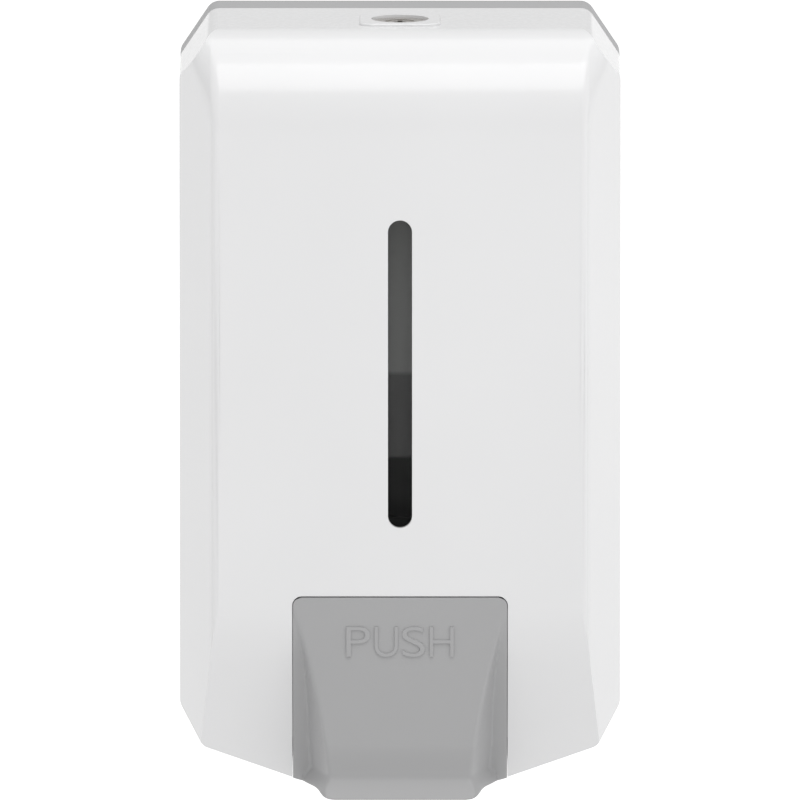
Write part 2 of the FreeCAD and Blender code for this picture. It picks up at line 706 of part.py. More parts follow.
def window_retainer():
    """Frame that holds the window's flange against the back of the panel."""
    half = SLOT_W / 2.0 + WINDOW_FLANGE
    low, high = window_span(WINDOW_FLANGE)
    front = window_seat_y() - WINDOW_FIT - WINDOW_T
    frame = box(-half, half, front - RETAINER_T, front, low, high)
    return frame.cut(slot_outline(RETAINER_LIP, front - PAST, front + 1.0))


# ---------------------------------------------------------------- lock
def lock_ledge_z():
    """Height of the ledge that carries the lock's round face."""
    return TOP_Z + PAD_H - LOCK_SINK - LOCK_FACE_T


def barrel_low_z():
    return TOP_Z - LOCK_BARREL_DROP


def lock_barrel():
    ledge = lock_ledge_z()
    face = rod_z(LOCK_FACE_D / 2.0, 0, LOCK_Y, ledge, ledge + LOCK_FACE_T)
    rim = [e for e in face.Edges if e.BoundBox.ZMin > ledge + LOCK_FACE_T - NEAR]
    face = face.makeChamfer(LOCK_CHAMFER, rim)
    barrel = rod_z(LOCK_BARREL_D / 2.0, 0, LOCK_Y, barrel_low_z(), ledge + TOUCH)
    bore = rod_z(LOCK_PLUG_D / 2.0 + PIN_FIT, 0, LOCK_Y, 0, TOP_Z + PAST)
    return joined([face, barrel]).cut(bore)


def lock_nut():
    top = TOP_Z - WALL
    r = NUT_AF / math.sqrt(3.0)
    hexagon = [(r * math.cos(a), LOCK_Y + r * math.sin(a)) for a in around(6)]
    body = prism_z(hexagon, top - NUT_T, top)
    return body.cut(rod_z(LOCK_BARREL_D / 2.0, 0, LOCK_Y, top - NUT_T - 1, top + 1))


def lock_plug():
    """Turning core with its key slot; a flat drives the cam."""
    face = lock_ledge_z() + LOCK_FACE_T - PLUG_SINK
    low = barrel_low_z() - PLUG_STICK
    core = rod_z(LOCK_PLUG_D / 2.0, 0, LOCK_Y, low, face)
    key_z = face - KEY_DEPTH
    slot = box(-KEY_SLOT[0], KEY_SLOT[0], LOCK_Y - KEY_SLOT[1], LOCK_Y + KEY_SLOT[1], key_z, face + 1)
    ward = box(-KEY_WARD[0], KEY_WARD[0], LOCK_Y - KEY_WARD[1], LOCK_Y + KEY_WARD[1], key_z, face + 1)
    thread = rod_z(SCREW_D / 2.0, 0, LOCK_Y, low - 1, low + PLUG_THREAD_L)
    return core.cut(Part.makeCompound([slot.fuse(ward), thread]))


def sector(r0, r1, a0, a1, z0, z1):
    """Part of a flat ring about the lock's axis; angles in degrees from +X towards the wall."""
    ring = Part.makeCylinder(r1, z1 - z0, Vector(0, -LOCK_Y, z0), Vector(0, 0, 1), a1 - a0)
    ring = ring.cut(Part.makeCylinder(r0, z1 - z0, Vector(0, -LOCK_Y, z0), Vector(0, 0, 1), 360))
    ring.rotate(Vector(0, -LOCK_Y, 0), Vector(0, 0, 1), a0)
    return ring


def cam_top_z():
    return barrel_low_z() - PLUG_STICK


def lock_cam():
    top = cam_top_z()
    low = top - CAM_T
    hub = rod_z(CAM_HUB_R, 0, LOCK_Y, low, top)
    half = CAM_ARM_W / 2.0
    arm = box(0, CLAW_R[1] - CAM_ARM_IN, LOCK_Y - half, LOCK_Y + half, low, top)
    claw = sector(CLAW_R[0], CLAW_R[1], CLAW_SPAN[0], CLAW_SPAN[1], low, top)
    return joined([hub, arm, claw]).cut(rod_z(SCREW_D / 2.0, 0, LOCK_Y, low - 1, top + 1))


def cam_screw():
    low = cam_top_z() - CAM_T
    head = rod_z(SCREW_HEAD_D / 2.0, 0, LOCK_Y, low - CAM_HEAD_T, low)
    return joined([head, rod_z(SCREW_D / 2.0, 0, LOCK_Y, low - TOUCH, cam_top_z() + CAM_SCREW_IN)])


def striker_screw_places():
    z = cam_top_z() - STRIKER_SCREW_DROP
    return [(STRIKER_X[0] + STRIKER_SCREW_IN, z), (STRIKER_X[1] - STRIKER_SCREW_IN, z)]


def lock_striker():
    x0, x1 = STRIKER_X
    shelf_z = cam_top_z() + STRIKER_HEAD_GAP
    flange = box(x0, x1, PLATE_T, PLATE_T + STRIKER_T, cam_top_z() - STRIKER_FOOT, shelf_z + STRIKER_T)
    reach = LOCK_Y - STRIKER_SHELF_IN
    shelf = box(x0, x1, PLATE_T, reach, shelf_z, shelf_z + STRIKER_T)
    shelf = shelf.cut(rod_z(STRIKER_R[0], 0, LOCK_Y, 0, BIG))
    post = sector(STRIKER_R[0], STRIKER_R[1], STRIKER_ANGLE[0], STRIKER_ANGLE[1],
                  cam_top_z() - CAM_T - POST_DROP, shelf_z + ROOT)
    middle = (x0 + x1) / 2.0
    gusset = prism_x([(PLATE_T, shelf_z - GUSSET_H), (reach * GUSSET_SHARE, shelf_z + ROOT),
                      (PLATE_T, shelf_z + ROOT)], middle - 1.0, middle + 1.0)
    solid = joined([flange, shelf, post, gusset])
    holes = [rod_y(SCREW_D / 2.0, x, 0, PLATE_T + STRIKER_T + 1, z) for x, z in striker_screw_places()]
    return solid.cut(Part.makeCompound(holes))


def wall_side_screws(places, depth):
    """Screws driven towards the wall, with their heads on the face at the given depth."""
    screws = []
    top = depth + SCREW_HEAD_T
    thin, long, deep = CROSS
    for x, z in places:
        head = rod_y(SCREW_HEAD_D / 2.0, x, depth, top, z)
        rim = [e for e in head.Edges if e.BoundBox.YMax < NEAR - top]
        head = head.makeFillet(SCREW_CROWN, rim)
        cross = box(x - thin, x + thin, top - deep, top + 1, z - long, z + long)
        cross = cross.fuse(box(x - long, x + long, top - deep, top + 1, z - thin, z + thin))
        shank = rod_y(SCREW_D / 2.0, x, SCREW_TIP, depth + TOUCH, z)
        screws.append(joined([head, shank]).cut(cross))
    return screws


# ---------------------------------------------------------------- reservoir
def tank_block(inset):
    half = TANK_W / 2.0 - inset
    body = box(-half, half, TANK_BACK_Y + inset, TANK_FRONT_Y - inset, TANK_BOTTOM_Z, TANK_TOP_Z - inset)
    return round_edges(body, TANK_R - inset, Vector(0, 0, 1))


def tank_funnel(inset):
    """Sloping underside, from the tank's walls down to the collar."""
    edge = inset + FUNNEL_TOP_IN
    half = TANK_W / 2.0 - edge
    neck = COLLAR_W / 2.0 - FUNNEL_FOOT_IN - inset

    def rectangle(hx, d0, d1, z):
        return Part.makePolygon([Vector(-hx, -d0, z), Vector(hx, -d0, z), Vector(hx, -d1, z),
                                 Vector(-hx, -d1, z), Vector(-hx, -d0, z)])

    upper = rectangle(half, TANK_BACK_Y + edge, TANK_FRONT_Y - edge, TANK_BOTTOM_Z)
    lower = rectangle(neck, PUMP_Y - neck, PUMP_Y + neck, TANK_BOTTOM_Z - FUNNEL_H)
    return Part.makeLoft([lower, upper], True, True)


def tank_solid(inset):
    body = tank_block(inset)
    radius = TANK_TOP_R - inset
    corner_z = TANK_TOP_Z - inset - radius
    corner_y = TANK_FRONT_Y - inset - radius
    corner = box(-BIG, BIG, corner_y, BIG, corner_z, BIG)
    corner = corner.cut(rod_x(radius, -BIG / 2, BIG / 2, corner_y, corner_z))
    return joined([body.cut(corner), tank_funnel(inset)])


def collar_z():
    """Underside of the reservoir's collar, which rests on the bracket."""
    return TANK_BOTTOM_Z - FUNNEL_H - COLLAR_T


def mouth_y():
    """Depths of the filling mouth's back and front."""
    middle = (TANK_BACK_Y + TANK_FRONT_Y - TANK_TOP_R) / 2.0
    return middle - MOUTH_D / 2.0, middle + MOUTH_D / 2.0


def mouth_block(grow, z0, z1):
    d0, d1 = mouth_y()
    half = MOUTH_W / 2.0 + grow
    block = box(-half, half, d0 - grow, d1 + grow, z0, z1)
    return round_edges(block, MOUTH_R + grow, Vector(0, 0, 1))


def reservoir():
    neck_low = collar_z() - NECK_L
    collar = box(-COLLAR_W / 2, COLLAR_W / 2, PUMP_Y - COLLAR_W / 2, PUMP_Y + COLLAR_W / 2,
                 collar_z(), TANK_BOTTOM_Z - FUNNEL_H + ROOT)
    collar = round_edges(collar, COLLAR_R, Vector(0, 0, 1))
    neck = rod_z(NECK_R, 0, PUMP_Y, neck_low, collar_z() + ROOT)
    rim = mouth_block(TANK_WALL, TANK_TOP_Z - ROOT, TANK_TOP_Z + MOUTH_H)
    outer = joined([tank_solid(0.0), collar, neck, rim])
    bore = rod_z(NECK_BORE_R, 0, PUMP_Y, neck_low - 1, TANK_BOTTOM_Z - FUNNEL_H + NECK_BORE_UP)
    inner = joined([tank_solid(TANK_WALL), bore, mouth_block(0.0, TANK_TOP_Z - PAST, TANK_TOP_Z + PAST)])
    return outer.cut(inner)


def lid_seat_z():
    return TANK_TOP_Z + MOUTH_H + LID_SEAL_T


def lid_gasket():
    low = TANK_TOP_Z + MOUTH_H
    return mouth_block(TANK_WALL, low, lid_seat_z()).cut(mouth_block(0.0, low - 1, lid_seat_z() + 1))


def reservoir_lid():
    outside = TANK_WALL + LID_GAP + LID_T
    top = lid_seat_z() + LID_T
    block = mouth_block(outside, TANK_TOP_Z + LID_SKIRT_GAP, top)
    rim = [e for e in block.Edges if e.BoundBox.ZMin > top - NEAR]
    block = block.makeFillet(LID_EDGE_R, rim)
    lid = block.cut(mouth_block(TANK_WALL + LID_GAP, TANK_TOP_Z, lid_seat_z()))
    middle = sum(mouth_y()) / 2.0
    half, thin, height = LID_GRIP
    grip = box(-half, half, middle - thin, middle + thin, top - ROOT, top + height)
    return joined([lid, grip])


def bracket_screw_places():
    z = collar_z() - BRACKET_T - BRACKET_FLANGE_H / 2.0
    x = BRACKET_W / 2.0 - BRACKET_SCREW_IN
    return [(-x, z), (x, z)]


def reservoir_bracket():
    """Shelf with an open slot for the neck, on a flange screwed to the plate."""
    half = BRACKET_W / 2.0
    top = collar_z()
    low = top - BRACKET_T
    flange = box(-half, half, PLATE_T, PLATE_T + BRACKET_T, low - BRACKET_FLANGE_H, top)
    shelf = box(-half, half, PLATE_T, BRACKET_REACH_Y, low, top)
    rib = [(PLATE_T, low - BRACKET_FLANGE_H), (PUMP_Y - BRACKET_RIB_IN, low + ROOT), (PLATE_T, low + ROOT)]
    ribs = both_sides(prism_x(rib, half - BRACKET_RIB_T, half))
    slot_r = NECK_R + BRACKET_PLAY
    slot = joined([rod_z(slot_r, 0, PUMP_Y, low - 1, top + 1),
                   box(-slot_r, slot_r, PUMP_Y, BIG, low - 1, top + 1)])
    holes = [rod_y(SCREW_D / 2.0, x, 0, PLATE_T + BRACKET_T + 1, z) for x, z in bracket_screw_places()]
    return joined([flange, shelf] + ribs).cut(Part.makeCompound([slot] + holes))


# ---------------------------------------------------------------- pump, from the neck downwards
def neck_low_z():
    return collar_z() - NECK_L


def pump_top_z():
    return neck_low_z() - NECK_SEAL_T


def seat_z():
    """Underside of the inlet seat, against which the ball closes."""
    return pump_top_z() - SEAT_T


def cage_z():
    return seat_z() - CAGE_DROP


def tube_low_z():
    return piston_top_z() - PISTON_T - PISTON_FOOT - CAP_SPIGOT


def cap_low_z():
    return tube_low_z() - CAP_T


def piston_top_z():
    return cage_z() - CAGE_T - PISTON_REST


def lift_collar_top_z():
    return cap_low_z() - LIFT_COLLAR_DROP


def neck_gasket():
    ring = rod_z(NECK_R, 0, PUMP_Y, pump_top_z(), neck_low_z())
    return ring.cut(rod_z(NECK_SEAL_BORE_R, 0, PUMP_Y, pump_top_z() - 1, neck_low_z() + 1))


def union_nut():
    low = pump_top_z() - PUMP_FLANGE_T - NUT_FLOOR_T
    top = collar_z() - BRACKET_T - NUT_TOP_GAP
    body = rod_z(NUT_R, 0, PUMP_Y, low, top)
    edges = [e for e in body.Edges if e.BoundBox.ZMax < low + NEAR]
    body = body.makeFillet(NUT_EDGE_R, edges)
    grooves = [rod_z(NUT_GROOVE_R, NUT_R * math.cos(a), PUMP_Y + NUT_R * math.sin(a), low - 1, top + 1)
               for a in around(NUT_GROOVES)]
    hollow = rod_z(NECK_R + NUT_WALL_GAP, 0, PUMP_Y, pump_top_z() - PUMP_FLANGE_T, top + 1)
    hole = rod_z(PUMP_R + NUT_HOLE_GAP, 0, PUMP_Y, low - 1, top)
    return body.cut(Part.makeCompound(grooves)).cut(hollow).cut(hole)


def pump_body():
    top = pump_top_z()
    flange = rod_z(NECK_R, 0, PUMP_Y, top - PUMP_FLANGE_T, top)
    tube = rod_z(PUMP_R, 0, PUMP_Y, tube_low_z(), top)
    bore = rod_z(PUMP_BORE_R, 0, PUMP_Y, tube_low_z() - 1, seat_z())
    inlet = rod_z(BALL_HOLE_R, 0, PUMP_Y, seat_z() - 1, top + 1)
    return joined([flange, tube]).cut(bore).cut(inlet)


def valve_cage():
    """Perforated disc pressed into the bore, which carries the inlet spring."""
    low = cage_z() - CAGE_T
    disc = rod_z(PUMP_BORE_R, 0, PUMP_Y, low, cage_z())
    out = CAGE_HOLE_OUT
    holes = [rod_z(CAGE_HOLE_R, out * math.cos(a), PUMP_Y + out * math.sin(a), low - 1, cage_z() + 1)
             for a in around(CAGE_HOLES)]
    return disc.cut(Part.makeCompound(holes))


def ball_centre_z():
    """The ball closes the round inlet when its centre is this far below the seat's edge."""
    return seat_z() - math.sqrt(BALL_R ** 2 - BALL_HOLE_R ** 2) - BALL_PLAY


def inlet_ball():
    return Part.makeSphere(BALL_R, Vector(0, -PUMP_Y, ball_centre_z()))


def coil(wire_r, coil_r, z0, z1):
    """Spring of round wire on the pump's axis, swept along a helix."""
    helix = Part.makeHelix((z1 - z0 - 2 * wire_r) / SPRING_TURNS, z1 - z0 - 2 * wire_r, coil_r)
    helix.translate(Vector(0, 0, z0 + wire_r))
    section = Part.Wire(Part.makeCircle(wire_r, Vector(coil_r, 0, z0 + wire_r), Vector(0, 1, 0)))
    spring = Part.Wire(helix.Edges).makePipeShell([section], True, True)
    spring.translate(Vector(0, -PUMP_Y, 0))
    return spring


def inlet_spring():
    """Coil between the cage and the ball; its last turn rests against the ball all round."""
    reach = math.sqrt((BALL_R + INLET_WIRE_R) ** 2 - INLET_COIL_R ** 2)
    top = ball_centre_z() - reach + INLET_WIRE_R - SPRING_PLAY
    return coil(INLET_WIRE_R, INLET_COIL_R, cage_z() + SPRING_PLAY, top)


def pump_spring():
    low = piston_top_z() + SPRING_PLAY
    return coil(PUMP_WIRE_R, PUMP_COIL_R, low, cage_z() - CAGE_T - SPRING_PLAY)


def pump_end_cap():
    low = cap_low_z()
    plate = rod_z(PUMP_R, 0, PUMP_Y, low, tube_low_z())
    spigot = rod_z(PUMP_BORE_R - SPRING_PLAY, 0, PUMP_Y, tube_low_z() - TOUCH, tube_low_z() + CAP_SPIGOT)
    hole = rod_z(STEM_R + PIN_FIT, 0, PUMP_Y, low - 1, tube_low_z() + PAST)
    return joined([plate, spigot]).cut(hole)


def seal_z():
    """Lower face of the piston seal's groove."""
    return piston_top_z() - PISTON_T / 2.0 - SEAL_T / 2.0


def seal_ring(radius):
    """Ring that fills the piston's groove, out to a radius."""
    ring = rod_z(radius, 0, PUMP_Y, seal_z(), seal_z() + SEAL_T)
    return ring.cut(rod_z(PUMP_BORE_R - SEAL_W, 0, PUMP_Y, seal_z() - 1, seal_z() + SEAL_T + 1))


def piston_stem():
    top = piston_top_z()
    head = rod_z(PUMP_BORE_R - PISTON_GAP, 0, PUMP_Y, top - PISTON_T, top)
    groove = seal_ring(PUMP_BORE_R)
    low = lift_collar_top_z() - LIFT_COLLAR_T - NOZZLE_L
    stem = rod_z(STEM_R, 0, PUMP_Y, low, top - TOUCH)
    bore = rod_z(STEM_BORE_R, 0, PUMP_Y, low - 1, top + 1)
    return joined([head.cut(groove), stem]).cut(bore)


def lift_collar():
    top = lift_collar_top_z()
    disc = rod_z(LIFT_COLLAR_R, 0, PUMP_Y, top - LIFT_COLLAR_T, top)
    hub = rod_z(STEM_R + LIFT_HUB_WALL, 0, PUMP_Y, top - TOUCH, top + LIFT_HUB_H)
    return joined([disc, hub]).cut(rod_z(STEM_R, 0, PUMP_Y, top - PAST, top + PAST))


def nozzle_valve():
    """Soft sleeve over the stem's end, with a slit outlet."""
    stem_low = lift_collar_top_z() - LIFT_COLLAR_T - NOZZLE_L
    top = stem_low + NOZZLE_UP
    low = stem_low - NOZZLE_DROP
    tip_r, tip_h = NOZZLE_TIP
    sleeve = rod_z(NOZZLE_R, 0, PUMP_Y, low + tip_h, top)
    tip = Part.makeCone(tip_r, NOZZLE_R, tip_h, Vector(0, -PUMP_Y, low), Vector(0, 0, 1))
    socket = rod_z(STEM_R, 0, PUMP_Y, stem_low, top + 1)
    half, thin = NOZZLE_SLIT
    slit = box(-half, half, PUMP_Y - thin, PUMP_Y + thin, low - 1, stem_low + 1)
    return joined([sleeve, tip]).cut(socket).cut(slit)


# ---------------------------------------------------------------- push lever
def tongue_profile(inset):
    """Side profile of the tongue: push face, belly, waist and, on the outside, the finger lip."""
    belly_z = LEVER_BOTTOM_Z + TONGUE_BELLY_UP
    waist = FRONT_Y + TONGUE_OUT - WAIST_IN
    rear = [(LEVER_BACK_Y - PAST, LEVER_TOP_Z - 1.0), (LEVER_BACK_Y - PAST, LEVER_BOTTOM_Z)]
    lip = [
        (FRONT_Y + LIP_OUT, LEVER_BOTTOM_Z),
        (FRONT_Y + LIP_OUT, LEVER_BOTTOM_Z + LIP_EDGE),
        (waist, waist_z()),
    ]
    face = [
        (FRONT_Y + TONGUE_OUT, belly_z),
        (FRONT_Y + FACE_RISE, LEVER_TOP_Z - PUSH_FACE_H),
        (FRONT_Y - FACE_SINK, LEVER_TOP_Z - 1.0),
    ]
    if inset > 0:
        lip = [(waist, LEVER_BOTTOM_Z)]
    return inset_polygon(rear + lip + face, inset)


def waist_z():
    return LEVER_BOTTOM_Z + LIP_H


def tongue_flank(inset):
    """Half-space beyond the right flank, which runs from the panel down to the lip."""
    upper, lower, outer = FLANK_SHARE
    a = Vector(LEVER_HALF * upper, FLANK_SINK - FRONT_Y, LEVER_TOP_Z - FLANK_DROP)
    b = Vector(LEVER_HALF * lower, -chin_depth(BOTTOM_Z), BOTTOM_Z)
    c = Vector(LEVER_HALF * outer, -(FRONT_Y + TONGUE_OUT), BOTTOM_Z + 2.0)
    point, normal = plane_through(a, b, c, Vector(1, 0, 0))
    return half_space(point - normal * inset, normal)


def tongue(inset):
    half = LEVER_HALF - inset
    body = prism_x(tongue_profile(inset), -half, half)
    if inset == 0:
        body = soften_tongue(body)
    flanks = both_sides(tongue_flank(inset))
    return body.cut(Part.makeCompound(flanks))


def soften_tongue(body):
    """Round the waist above the finger lip, and the belly."""
    belly_z = LEVER_BOTTOM_Z + TONGUE_BELLY_UP
    body = round_edges(body, WAIST_R, Vector(1, 0, 0),
                       lambda c: abs(c.z - waist_z()) < 0.5 and -c.y > FRONT_Y)
    return round_edges(body, BELLY_R, Vector(1, 0, 0),
                       lambda c: abs(c.z - belly_z) < 0.5 and -c.y > FRONT_Y)


def lever_solid(inset):
    half = LEVER_HALF - inset
    top = LEVER_TOP_Z - inset
    block = box(-half, half, LEVER_BACK_Y - inset * 3, BIG, LEVER_BOTTOM_Z - 1.0, top)
    if inset == 0:
        block = round_edges(block, LEVER_CORNER_R, Vector(0, 1, 0), lambda c: c.z > top - 1.0)
    wings = form(inset, LEVER_BACK_Y - PAST, True)
    return joined([wings, tongue(inset)]).common(block)


def lever_pin_holes(radius, x0, x1):
    """Rods on the lever's pivot axis, on both sides."""
    return both_sides(rod_x(radius, x0, x1, LEVER_PIVOT_Y, LEVER_PIVOT_Z))


def fork_height():
    """Centre height of the fork's round tips."""
    return lift_collar_top_z() - LIFT_COLLAR_T - FORK_GAP - FORK_TIP_R


def fork_screw_z():
    return fork_height() - FORK_SCREW_DROP


def fork_bosses():
    """Two posts behind the tongue that take the fork's screws."""
    front = FRONT_Y + TONGUE_OUT - LEVER_WALL + FORK_POST_ROOT
    return [rod_y(FORK_POST_R, x, LEVER_REAR_Y, front, fork_screw_z()) for x in FORK_SCREW_X]


def push_lever():
    shell = lever_solid(0.0).cut(lever_solid(LEVER_WALL))
    collars = lever_pin_holes(PIN_BOSS_R, LEVER_HALF - LEVER_WALL - PIN_BOSS_T, LEVER_HALF - ROOT)
    inside = box(-BIG, BIG, LEVER_BACK_Y, BIG, -BIG, LEVER_TOP_Z)
    collars = [c.common(inside).common(form(ROOT, 0.0)) for c in collars]
    posts = [post.common(tongue(ROOT)) for post in fork_bosses()]
    solid = joined([shell] + collars + posts)
    cuts = lever_pin_holes(LEVER_PIN_D / 2.0 + PIN_FIT, LEVER_HALF - PAST, LEVER_HALF + 1.0)
    cuts += [rod_y(SCREW_D / 2.0, x, LEVER_REAR_Y - 1.0, LEVER_REAR_Y + FORK_POST_HOLE, fork_screw_z())
             for x in FORK_SCREW_X]
    return solid.cut(Part.makeCompound(cuts))


def lever_pins():
    x0 = LEVER_HALF - LEVER_WALL - LEVER_PIN_INNER
    return lever_pin_holes(LEVER_PIN_D / 2.0, x0, NOTCH_HALF + LEVER_PIN_REACH)


def lever_fork():
    """Two arms that reach under the lift collar and raise it with their round tips."""
    face = LEVER_REAR_Y
    z = fork_height()
    tip_y = PUMP_Y + FORK_LEAD
    half = FORK_ARM_X + 2 * FORK_SCREW_OUT
    bar = box(-half, half, face - FORK_BAR_T, face, z - FORK_BAR[0], z + FORK_BAR[1])
    arms = [box(x - FORK_ARM_W / 2, x + FORK_ARM_W / 2, tip_y, face - TOUCH, z - FORK_TIP_R, z + FORK_ARM_UP)
            for x in (-FORK_ARM_X, FORK_ARM_X)]
    tips = [rod_x(FORK_TIP_R, x - FORK_ARM_W / 2, x + FORK_ARM_W / 2, tip_y, z)
            for x in (-FORK_ARM_X, FORK_ARM_X)]
    holes = [rod_y(SCREW_D / 2.0, x, face - PAST, face + 1, fork_screw_z()) for x in FORK_SCREW_X]
    return joined([bar] + arms + tips).cut(Part.makeCompound(holes))


def fork_screws():
    face = LEVER_REAR_Y - FORK_BAR_T
    screws = []
    for x in FORK_SCREW_X:
        head = rod_y(FORK_HEAD_D / 2.0, x, face - SCREW_HEAD_T, face, fork_screw_z())
        shank = rod_y(SCREW_D / 2.0, x, face - TOUCH, face + FORK_SCREW_L, fork_screw_z())
        screws.append(joined([head, shank]))
    return screws


# ---------------------------------------------------------------- all pieces
def main():
    save("back_plate", back_plate())
    save("hinge_pins", hinge_pins())
    save("front_cover", front_cover())
    save("sight_window", sight_window())
    save("window_retainer", window_retainer())
    save("lock_barrel", lock_barrel())
    save("lock_nut", lock_nut())
    save("lock_plug", lock_plug())
    save("lock_cam", lock_cam())
    save("cam_screw", cam_screw())
    save("lock_striker", lock_striker())
    save("striker_screws", wall_side_screws(striker_screw_places(), PLATE_T + STRIKER_T))
    save("reservoir", reservoir())
    save("reservoir_lid", reservoir_lid())
    save("lid_gasket", lid_gasket())
    save("reservoir_bracket", reservoir_bracket())
    save("bracket_screws", wall_side_screws(bracket_screw_places(), PLATE_T + BRACKET_T))
    save("neck_gasket", neck_gasket())
    save("union_nut", union_nut())
    save("pump_body", pump_body())
    save("valve_cage", valve_cage())
    save("inlet_ball", inlet_ball())
    save("inlet_spring", inlet_spring())
    save("pump_spring", pump_spring())
    save("pump_end_cap", pump_end_cap())
    save("piston_stem", piston_stem())
    save("piston_seal", seal_ring(PUMP_BORE_R - SEAL_GAP))
    save("lift_collar", lift_collar())
    save("nozzle_valve", nozzle_valve())
    save("push_lever", push_lever())
    save("lever_pins", lever_pins())
    save("lever_fork", lever_fork())
    save("fork_screws", fork_screws())


main()
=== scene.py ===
# %% [markdown]
# # A wall mounted soap dispenser
# The dispenser comes in as a finished frame: every plastic part, pin and spring at its real size. This
# lesson gives each piece its finish, rounds the edges of the white cover and of the back plate, and models
# the grey push lever again, because its soft face is what a hand meets. All lengths are in metres. The wall
# is the plane y = 0, the front faces -Y and +Z is up.

# %% Load the frame
import json
import math
import bpy
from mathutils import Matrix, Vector

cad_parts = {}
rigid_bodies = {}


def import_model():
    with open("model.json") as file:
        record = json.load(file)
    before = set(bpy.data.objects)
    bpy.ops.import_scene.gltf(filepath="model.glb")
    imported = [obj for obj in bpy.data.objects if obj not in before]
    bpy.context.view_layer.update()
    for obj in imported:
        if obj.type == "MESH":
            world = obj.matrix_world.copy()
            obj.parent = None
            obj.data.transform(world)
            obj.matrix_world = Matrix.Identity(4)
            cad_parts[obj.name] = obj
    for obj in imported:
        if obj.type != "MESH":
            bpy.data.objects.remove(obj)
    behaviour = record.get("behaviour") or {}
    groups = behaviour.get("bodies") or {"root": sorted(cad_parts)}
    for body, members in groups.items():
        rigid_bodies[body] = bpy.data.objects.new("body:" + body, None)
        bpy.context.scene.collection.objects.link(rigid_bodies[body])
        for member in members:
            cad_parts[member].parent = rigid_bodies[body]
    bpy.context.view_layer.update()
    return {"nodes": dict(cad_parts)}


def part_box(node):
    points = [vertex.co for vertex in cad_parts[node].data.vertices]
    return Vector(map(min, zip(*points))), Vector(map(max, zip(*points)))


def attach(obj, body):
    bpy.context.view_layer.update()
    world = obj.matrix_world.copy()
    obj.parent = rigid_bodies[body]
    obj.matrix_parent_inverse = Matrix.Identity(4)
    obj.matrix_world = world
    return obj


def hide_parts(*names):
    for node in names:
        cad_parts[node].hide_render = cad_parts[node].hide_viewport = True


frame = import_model()
nodes = frame["nodes"]
MM = 0.001

# %% [markdown]
# ## The camera
# A dispenser is best seen almost without perspective, from a little above. A near camera would swell the
# lever and shrink the back plate. A long lens far away keeps both at one scale, and straight edges stay
# straight, so the lens is worked out from the distance and from the width that the view has to show.

# %% Place the camera
VIEW_WIDTH = 0.2272
VIEW_DISTANCE = 10.0
VIEW_UP = math.radians(8.5)
VIEW_TARGET = Vector((0.0, -0.045, 0.0067))
SENSOR = 36.0

camera_data = bpy.data.cameras.new("camera")
camera = bpy.data.objects.new("camera", camera_data)
bpy.context.scene.collection.objects.link(camera)
camera_data.sensor_width = SENSOR
camera_data.lens = SENSOR * VIEW_DISTANCE / VIEW_WIDTH
camera_data.clip_end = 120.0
camera.location = VIEW_TARGET + VIEW_DISTANCE * Vector((0.0, -math.cos(VIEW_UP), math.sin(VIEW_UP)))
camera.rotation_euler = (math.pi / 2.0 - VIEW_UP, 0.0, 0.0)
bpy.context.scene.camera = camera
print("camera lens: %.0f mm" % camera_data.lens)

# %% [markdown]
# ## The floor
# A product like this stands in front of plain, pale surroundings. A curved backdrop is one way to get them.
# A single large sheet is simpler: one operator adds it at its size, well below the dispenser, so that no
# hard shadow touches it.

# %% Lay the floor
FLOOR_SIZE = 60.0
FLOOR_DROP = 0.45

bpy.ops.object.select_all(action="DESELECT")
bpy.ops.mesh.primitive_plane_add(size=FLOOR_SIZE, location=(0.0, 0.0, -FLOOR_DROP))
floor = bpy.context.object
floor.name = "floor"
print("floor at z = %.2f" % -FLOOR_DROP)

# %% [markdown]
# ## How a finish is built
# Every finish is a small tree of nodes in front of one shader. Three steps come again and again: start a
# material, lay a noise on the piece, and carry a value from one pair of limits to another. Each is written
# once here. The noise reads Object coordinates, so it stays with the piece when the piece moves.

# %% Helpers that every finish uses
def blank_material(name):
    """A material with its Principled shader, and the tree's node and link lists."""
    material = bpy.data.materials.new(name)
    material.use_nodes = True
    tree = material.node_tree
    return material, tree.nodes, tree.links, tree.nodes["Principled BSDF"]


def object_noise(parts, links, scale, detail):
    """Noise that stays fixed on the piece, through its Object coordinates."""
    place = parts.new("ShaderNodeTexCoord")
    noise = parts.new("ShaderNodeTexNoise")
    noise.inputs["Scale"].default_value = scale
    noise.inputs["Detail"].default_value = detail
    links.new(place.outputs["Object"], noise.inputs["Vector"])
    return noise


def remap(parts, links, source, old, new):
    """Carry a value from its old limits to new ones, and return the result."""
    node = parts.new("ShaderNodeMapRange")
    node.inputs["From Min"].default_value, node.inputs["From Max"].default_value = old
    node.inputs["To Min"].default_value, node.inputs["To Max"].default_value = new
    links.new(source, node.inputs["Value"])
    return node.outputs["Result"]


def colour_mix(parts, links, factor):
    """A node that shows its colour A where the factor is 0 and its colour B where it is 1."""
    mix = parts.new("ShaderNodeMix")
    mix.data_type = "RGBA"
    links.new(factor, mix.inputs["Factor"])
    return mix


print("helpers:", [f.__name__ for f in (blank_material, object_noise, remap, colour_mix)])

# %% [markdown]
# ## The floor's paint
# The floor is matt and nearly white, with a mottle as wide as a hand mop leaves. Near the dispenser it
# carries painted shade, a grey that also lets less light bounce onto the underside, and far away it has a
# painted glow that grows with distance, standing in for light on the floor's far side. The distance from the
# middle leads both changes.

# %% Paint the floor
# the grey near the dispenser is painted shade on the floor
NEAR_PAINTED_SHADE = (0.88, 0.88, 0.88, 1.0)
MOTTLE_DARK = (0.90, 0.90, 0.90, 1.0)
MOTTLE_LIGHT = (0.93, 0.93, 0.93, 1.0)
PAINTED_SHADE_REACH = (0.3, 1.8)
GLOW_REACH = (0.5, 1.9)
GLOW = (0.04, 0.58)


